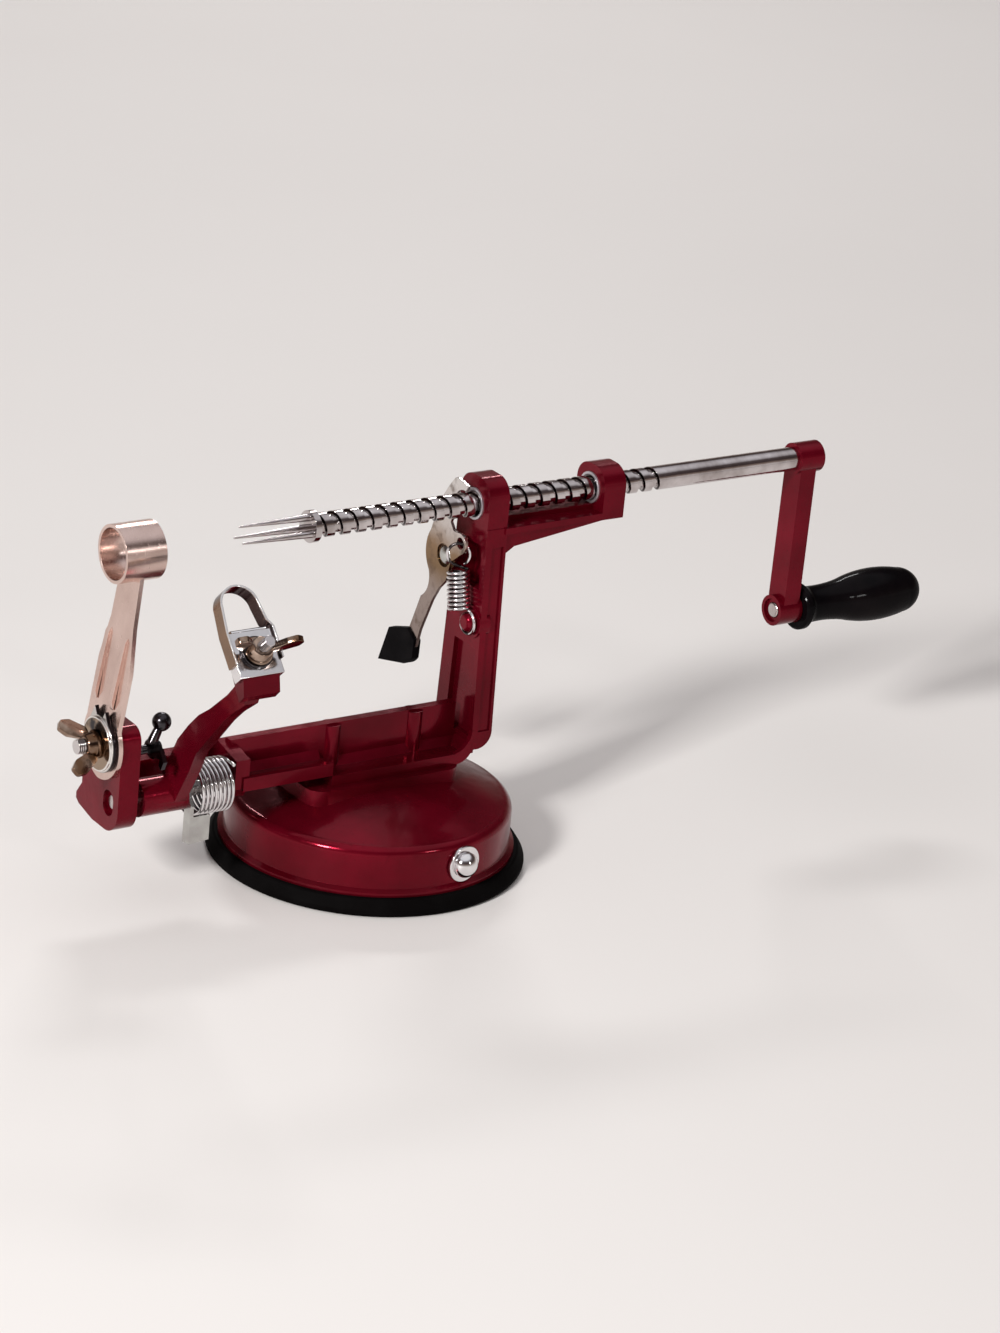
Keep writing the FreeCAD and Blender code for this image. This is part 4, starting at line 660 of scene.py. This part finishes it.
print("metal parts")
metalParts = [
    {"name": "feedScrew", "node": "feed_screw", "finish": screwSteel, "bevel": 0.12},
    {"name": "foodFork", "node": "food_fork", "finish": chrome, "bevel": 0.3},
    {"name": "crankPin", "node": "crank_pin", "finish": sheetSteel, "bevel": 0.3},
    {"name": "catchLever", "node": "catch_lever", "finish": catchSteel, "bevel": 0.22},
    {"name": "catchRivet", "node": "catch_pivot_rivet", "finish": plateSteel, "bevel": 0.2},
    {"name": "catchSpring", "node": "catch_spring", "finish": catchWire, "bevel": 0},
    {"name": "armPivotPin", "node": "arm_pivot_pin", "finish": sheetSteel, "bevel": 0.3},
    {"name": "armLeverPlate", "node": "arm_lever_plate", "finish": plateSteel, "bevel": 0.2},
    {"name": "armSpring", "node": "arm_spring", "finish": armWire, "bevel": 0},
    {"name": "bladeBracket", "node": "blade_bracket", "finish": whiteChrome, "bevel": 0.25},
    {"name": "paringBlade", "node": "paring_blade", "finish": bladeSteel, "bevel": 0.1},
    {"name": "bladeGuard", "node": "blade_guard", "finish": whiteChrome, "bevel": 0.15},
    {"name": "bladeBolt", "node": "blade_bolt", "finish": bladeThread, "bevel": 0.3},
    {"name": "bladeWasher", "node": "blade_washer", "finish": darkSteel, "bevel": 0.25},
    {"name": "coringBlade", "node": "coring_blade", "finish": stripSteel, "bevel": 0.2},
    {"name": "coreBolt", "node": "core_bolt", "finish": coreThread, "bevel": 0.3},
    {"name": "coreWashers", "node": "core_washers", "finish": washerPlating, "bevel": 0.2},
    {"name": "latchPin", "node": "latch_pin", "finish": darkSteel, "bevel": 0.2},
    {"name": "latchStopPin", "node": "latch_stop_pin", "finish": darkSteel, "bevel": 0.3},
    {"name": "latchLever", "node": "latch_lever", "finish": darkSteel, "bevel": 0.2},
    {"name": "latchKnob", "node": "latch_knob", "finish": darkSteel, "bevel": 0},
    {"name": "axleWasher", "node": "axle_washer", "finish": whiteChrome, "bevel": 0.25},
    {"name": "axleCap", "node": "axle_cap", "finish": whiteChrome, "bevel": 0.3},
    {"name": "camAxle", "node": "cam_axle", "finish": sheetSteel, "bevel": 0.3},
    {"name": "suctionCam", "node": "suction_cam", "finish": darkSteel, "bevel": 0.3},
    {"name": "suctionLever", "node": "suction_lever", "finish": sheetSteel, "bevel": 0.3},
    {"name": "frontBush", "node": "front_bush", "finish": bushMetal, "bevel": 0.15},
    {"name": "rearBush", "node": "rear_bush", "finish": bushMetal, "bevel": 0.15},
    {"name": "baseScrewLeft", "node": "base_screw_left", "finish": darkSteel, "bevel": 0.3},
    {"name": "baseScrewRight", "node": "base_screw_right", "finish": darkSteel, "bevel": 0.3},
]
dress(metalParts, edgeSetting)

print("wing nuts")
# in millimetres and degrees, with foot as the hub's start along the bolt and reach as the leaves' tips
wingNuts = [
    {"name": "bladeWingNut", "node": "blade_wing_nut", "bore": 2.05, "foot": 1.34, "reach": 11.5, "turn": -7,
     "place": (-83.5, -50.2, 106.5), "tilt": (unitTilt, "X")},
    {"name": "coreWingNut", "node": "core_wing_nut", "bore": 2.55, "foot": 0.0, "reach": 9.8, "turn": 47,
     "place": (-113.14, -2.2, 59.7), "tilt": (-90, "Y")},
]
nutShape = {
    # radius and height of the hub's rings, up from its foot
    "hub": ((4.6, 0), (5.0, 0.35), (5.0, 0.95), (4.6, 1.3), (4.3, 1.4), (3.85, 4.0), (3.5, 4.5), (3.2, 4.6)),
    "hubSteps": 48,
    # a leaf's corners: out, up from the foot and radius, where tip corners count out from the reach
    "leafBelow": ((2.8, 1.5, 0.2), (6.2, 1.9, 2.2)),
    "leafTip": ((0.2, 7.0, 1.8), (0.5, 10.4, 1.3), (-2.4, 11.8, 1.4), (-5.2, 9.4, 1.8)),
    "leafAbove": ((2.8, 4.4, 0.2),),
    "cornerSteps": 5,
    "thickness": 2.1,
    "rounding": 0.5,
    "rimAngle": 1.2,  # radians past which an edge is rounded
    "merge": 0.001,
    "smooth": 40,
}


def softened(corners, steps):
    outline = []
    for index, (x, z, radius) in enumerate(corners):
        here = Vector((x, z))
        before = Vector(corners[index - 1][:2]) - here
        after = Vector(corners[(index + 1) % len(corners)][:2]) - here
        reach = radius / math.tan(before.angle(after) / 2)
        start = here + before.normalized() * reach
        end = here + after.normalized() * reach
        for step in range(steps + 1):
            amount = step / steps
            outline.append(start.lerp(here, amount).lerp(here.lerp(end, amount), amount))
    return outline


def addHub(shell, nut, shape):
    rings = [(radius, nut["foot"] + height) for radius, height in shape["hub"]]
    profile = [(nut["bore"], rings[0][1]), *rings, (nut["bore"], rings[-1][1])]
    points = [shell.verts.new((x, 0, z)) for x, z in profile]
    lines = [shell.edges.new((first, second)) for first, second in zip(points, points[1:] + points[:1])]
    bmesh.ops.spin(shell, geom=points + lines, cent=(0, 0, 0), axis=(0, 0, 1), angle=2 * math.pi,
                   steps=shape["hubSteps"], use_merge=True)


def addWing(shell, nut, shape, side):
    half = shape["thickness"] / 2
    corners = [(start + out, nut["foot"] + up, radius)
               for start, run in ((0, "leafBelow"), (nut["reach"], "leafTip"), (0, "leafAbove"))
               for out, up, radius in shape[run]]
    outline = softened(corners, shape["cornerSteps"])
    leaf = shell.faces.new([shell.verts.new((side * point.x, -half, point.y)) for point in outline])
    grown = bmesh.ops.extrude_face_region(shell, geom=[leaf])["geom"]
    moved = [item for item in grown if isinstance(item, bmesh.types.BMVert)]
    bmesh.ops.translate(shell, vec=(0, shape["thickness"], 0), verts=moved)
    rim = [edge for edge in shell.edges
           if len(edge.link_faces) == 2 and edge.calc_face_angle(0) > shape["rimAngle"]]
    bmesh.ops.bevel(shell, geom=rim, offset=shape["rounding"], offset_type="OFFSET", segments=3, profile=0.5,
                    affect="EDGES", material=-1, clamp_overlap=True)


def makeWingNut(nut, shape):
    whole = bmesh.new()
    for side in (-1, 1):
        wing = bmesh.new()
        addWing(wing, nut, shape, side)
        wingMesh = bpy.data.meshes.new("wing")
        wing.to_mesh(wingMesh)
        wing.free()
        whole.from_mesh(wingMesh)
        bpy.data.meshes.remove(wingMesh)
    addHub(whole, nut, shape)
    bmesh.ops.remove_doubles(whole, verts=whole.verts, dist=shape["merge"])
    bmesh.ops.recalc_face_normals(whole, faces=whole.faces)
    tilt, letter = nut["tilt"]
    stand = Matrix.Translation(Vector(nut["place"])) @ Matrix.Rotation(math.radians(tilt), 4, letter)
    turned = stand @ Matrix.Rotation(math.radians(nut["turn"]), 4, "Z")
    bmesh.ops.transform(whole, matrix=Matrix.Scale(millimetre, 4) @ turned, verts=whole.verts)
    mesh = bpy.data.meshes.new(nut["name"])
    whole.to_mesh(mesh)
    whole.free()
    finished(nut["name"], mesh, nutPlating, nut["node"], shape["smooth"])


for nut in wingNuts:
    makeWingNut(nut, nutShape)

print("rubber and plastic parts")
softParts = [
    {"name": "suctionCup", "node": "suction_cup", "finish": rubber, "bevel": 0.5},
    {"name": "cupCore", "node": "cup_core", "finish": rubber, "bevel": 0.4},
    {"name": "cupStem", "node": "cup_stem", "finish": gripBlack, "bevel": 0.4},
    {"name": "handleGrip", "node": "handle_grip", "finish": gripBlack, "bevel": 0.3},
    {"name": "catchTabSleeve", "node": "catch_tab_sleeve", "finish": vinyl, "bevel": 0.7},
    {"name": "leverGrip", "node": "lever_grip", "finish": vinyl, "bevel": 0.8},
]
dress(softParts, edgeSetting)

print("floor and light")
studio = {
    "floorSize": 4,
    "floorColour": shade(0.79, 0.755, 0.725),
    "floorGrain": shade(0.75, 0.715, 0.685),
    "floorPattern": (3, 3, 0.5),
    "floorRoughness": 0.6,
    # how bright the surroundings are, from straight down to straight up
    "surroundings": ((0.0, shade(0.62, 0.59, 0.57)), (0.53, shade(0.62, 0.59, 0.57)),
                     (0.60, shade(0.26, 0.20, 0.17)), (0.70, shade(0.05, 0.035, 0.035)),
                     (0.82, shade(0.10, 0.08, 0.08)), (0.90, shade(0.70, 0.70, 0.73)),
                     (1.0, shade(0.78, 0.78, 0.80))),
}
lamps = [
    {"name": "keyLamp", "place": (-1.95, -0.80, 1.30), "size": (0.38, 0.38), "power": 58},
    {"name": "fillLamp", "place": (0.75, -2.0, 1.0), "size": (0.30, 0.24), "power": 4.5},
    {"name": "backLamp", "place": (0.95, 1.55, 1.25), "size": (0.60, 0.16), "power": 9},
]
objectMiddle = Vector((0.04, 0, 0.07))


def makeFloor(setting):
    mesh = bpy.data.meshes.new("floor")
    sheet = bmesh.new()
    bmesh.ops.create_grid(sheet, x_segments=1, y_segments=1, size=setting["floorSize"])
    sheet.to_mesh(mesh)
    sheet.free()
    made = Finish("paleTable", Roughness=setting["floorRoughness"])
    tone = made.blend(made.noise(*setting["floorPattern"]), setting["floorColour"], setting["floorGrain"])
    mesh.materials.append(made.set(Base_Color=tone))
    floor = bpy.data.objects.new("floor", mesh)
    scene.collection.objects.link(floor)


def makeWorld(setting):
    world = bpy.data.worlds.new("studio")
    scene.world = world
    world.use_nodes = True
    tree = world.node_tree
    place = tree.nodes.new("ShaderNodeTexCoord")
    split = tree.nodes.new("ShaderNodeSeparateXYZ")
    tree.links.new(place.outputs["Generated"], split.inputs[0])
    rise = tree.nodes.new("ShaderNodeMapRange")
    rise.inputs["From Min"].default_value = -1  # straight down
    tree.links.new(split.outputs["Z"], rise.inputs["Value"])
    ramp = tree.nodes.new("ShaderNodeValToRGB")
    setStops(ramp.color_ramp, setting["surroundings"])
    tree.links.new(rise.outputs[0], ramp.inputs[0])
    tree.links.new(ramp.outputs[0], tree.nodes["Background"].inputs["Color"])


def softLamp(setting):
    light = bpy.data.lights.new(setting["name"], "AREA")
    light.shape = "RECTANGLE"
    light.size, light.size_y = setting["size"]
    light.energy = setting["power"]
    place = Vector(setting["place"])
    facing = (objectMiddle - place).to_track_quat("-Z", "Y").to_matrix().to_4x4()
    lamp = bpy.data.objects.new(setting["name"], light)
    lamp.matrix_world = Matrix.Translation(place) @ facing
    scene.collection.objects.link(lamp)


makeFloor(studio)
makeWorld(studio)
for lamp in lamps:
    softLamp(lamp)
scene.view_settings.view_transform = "Standard"
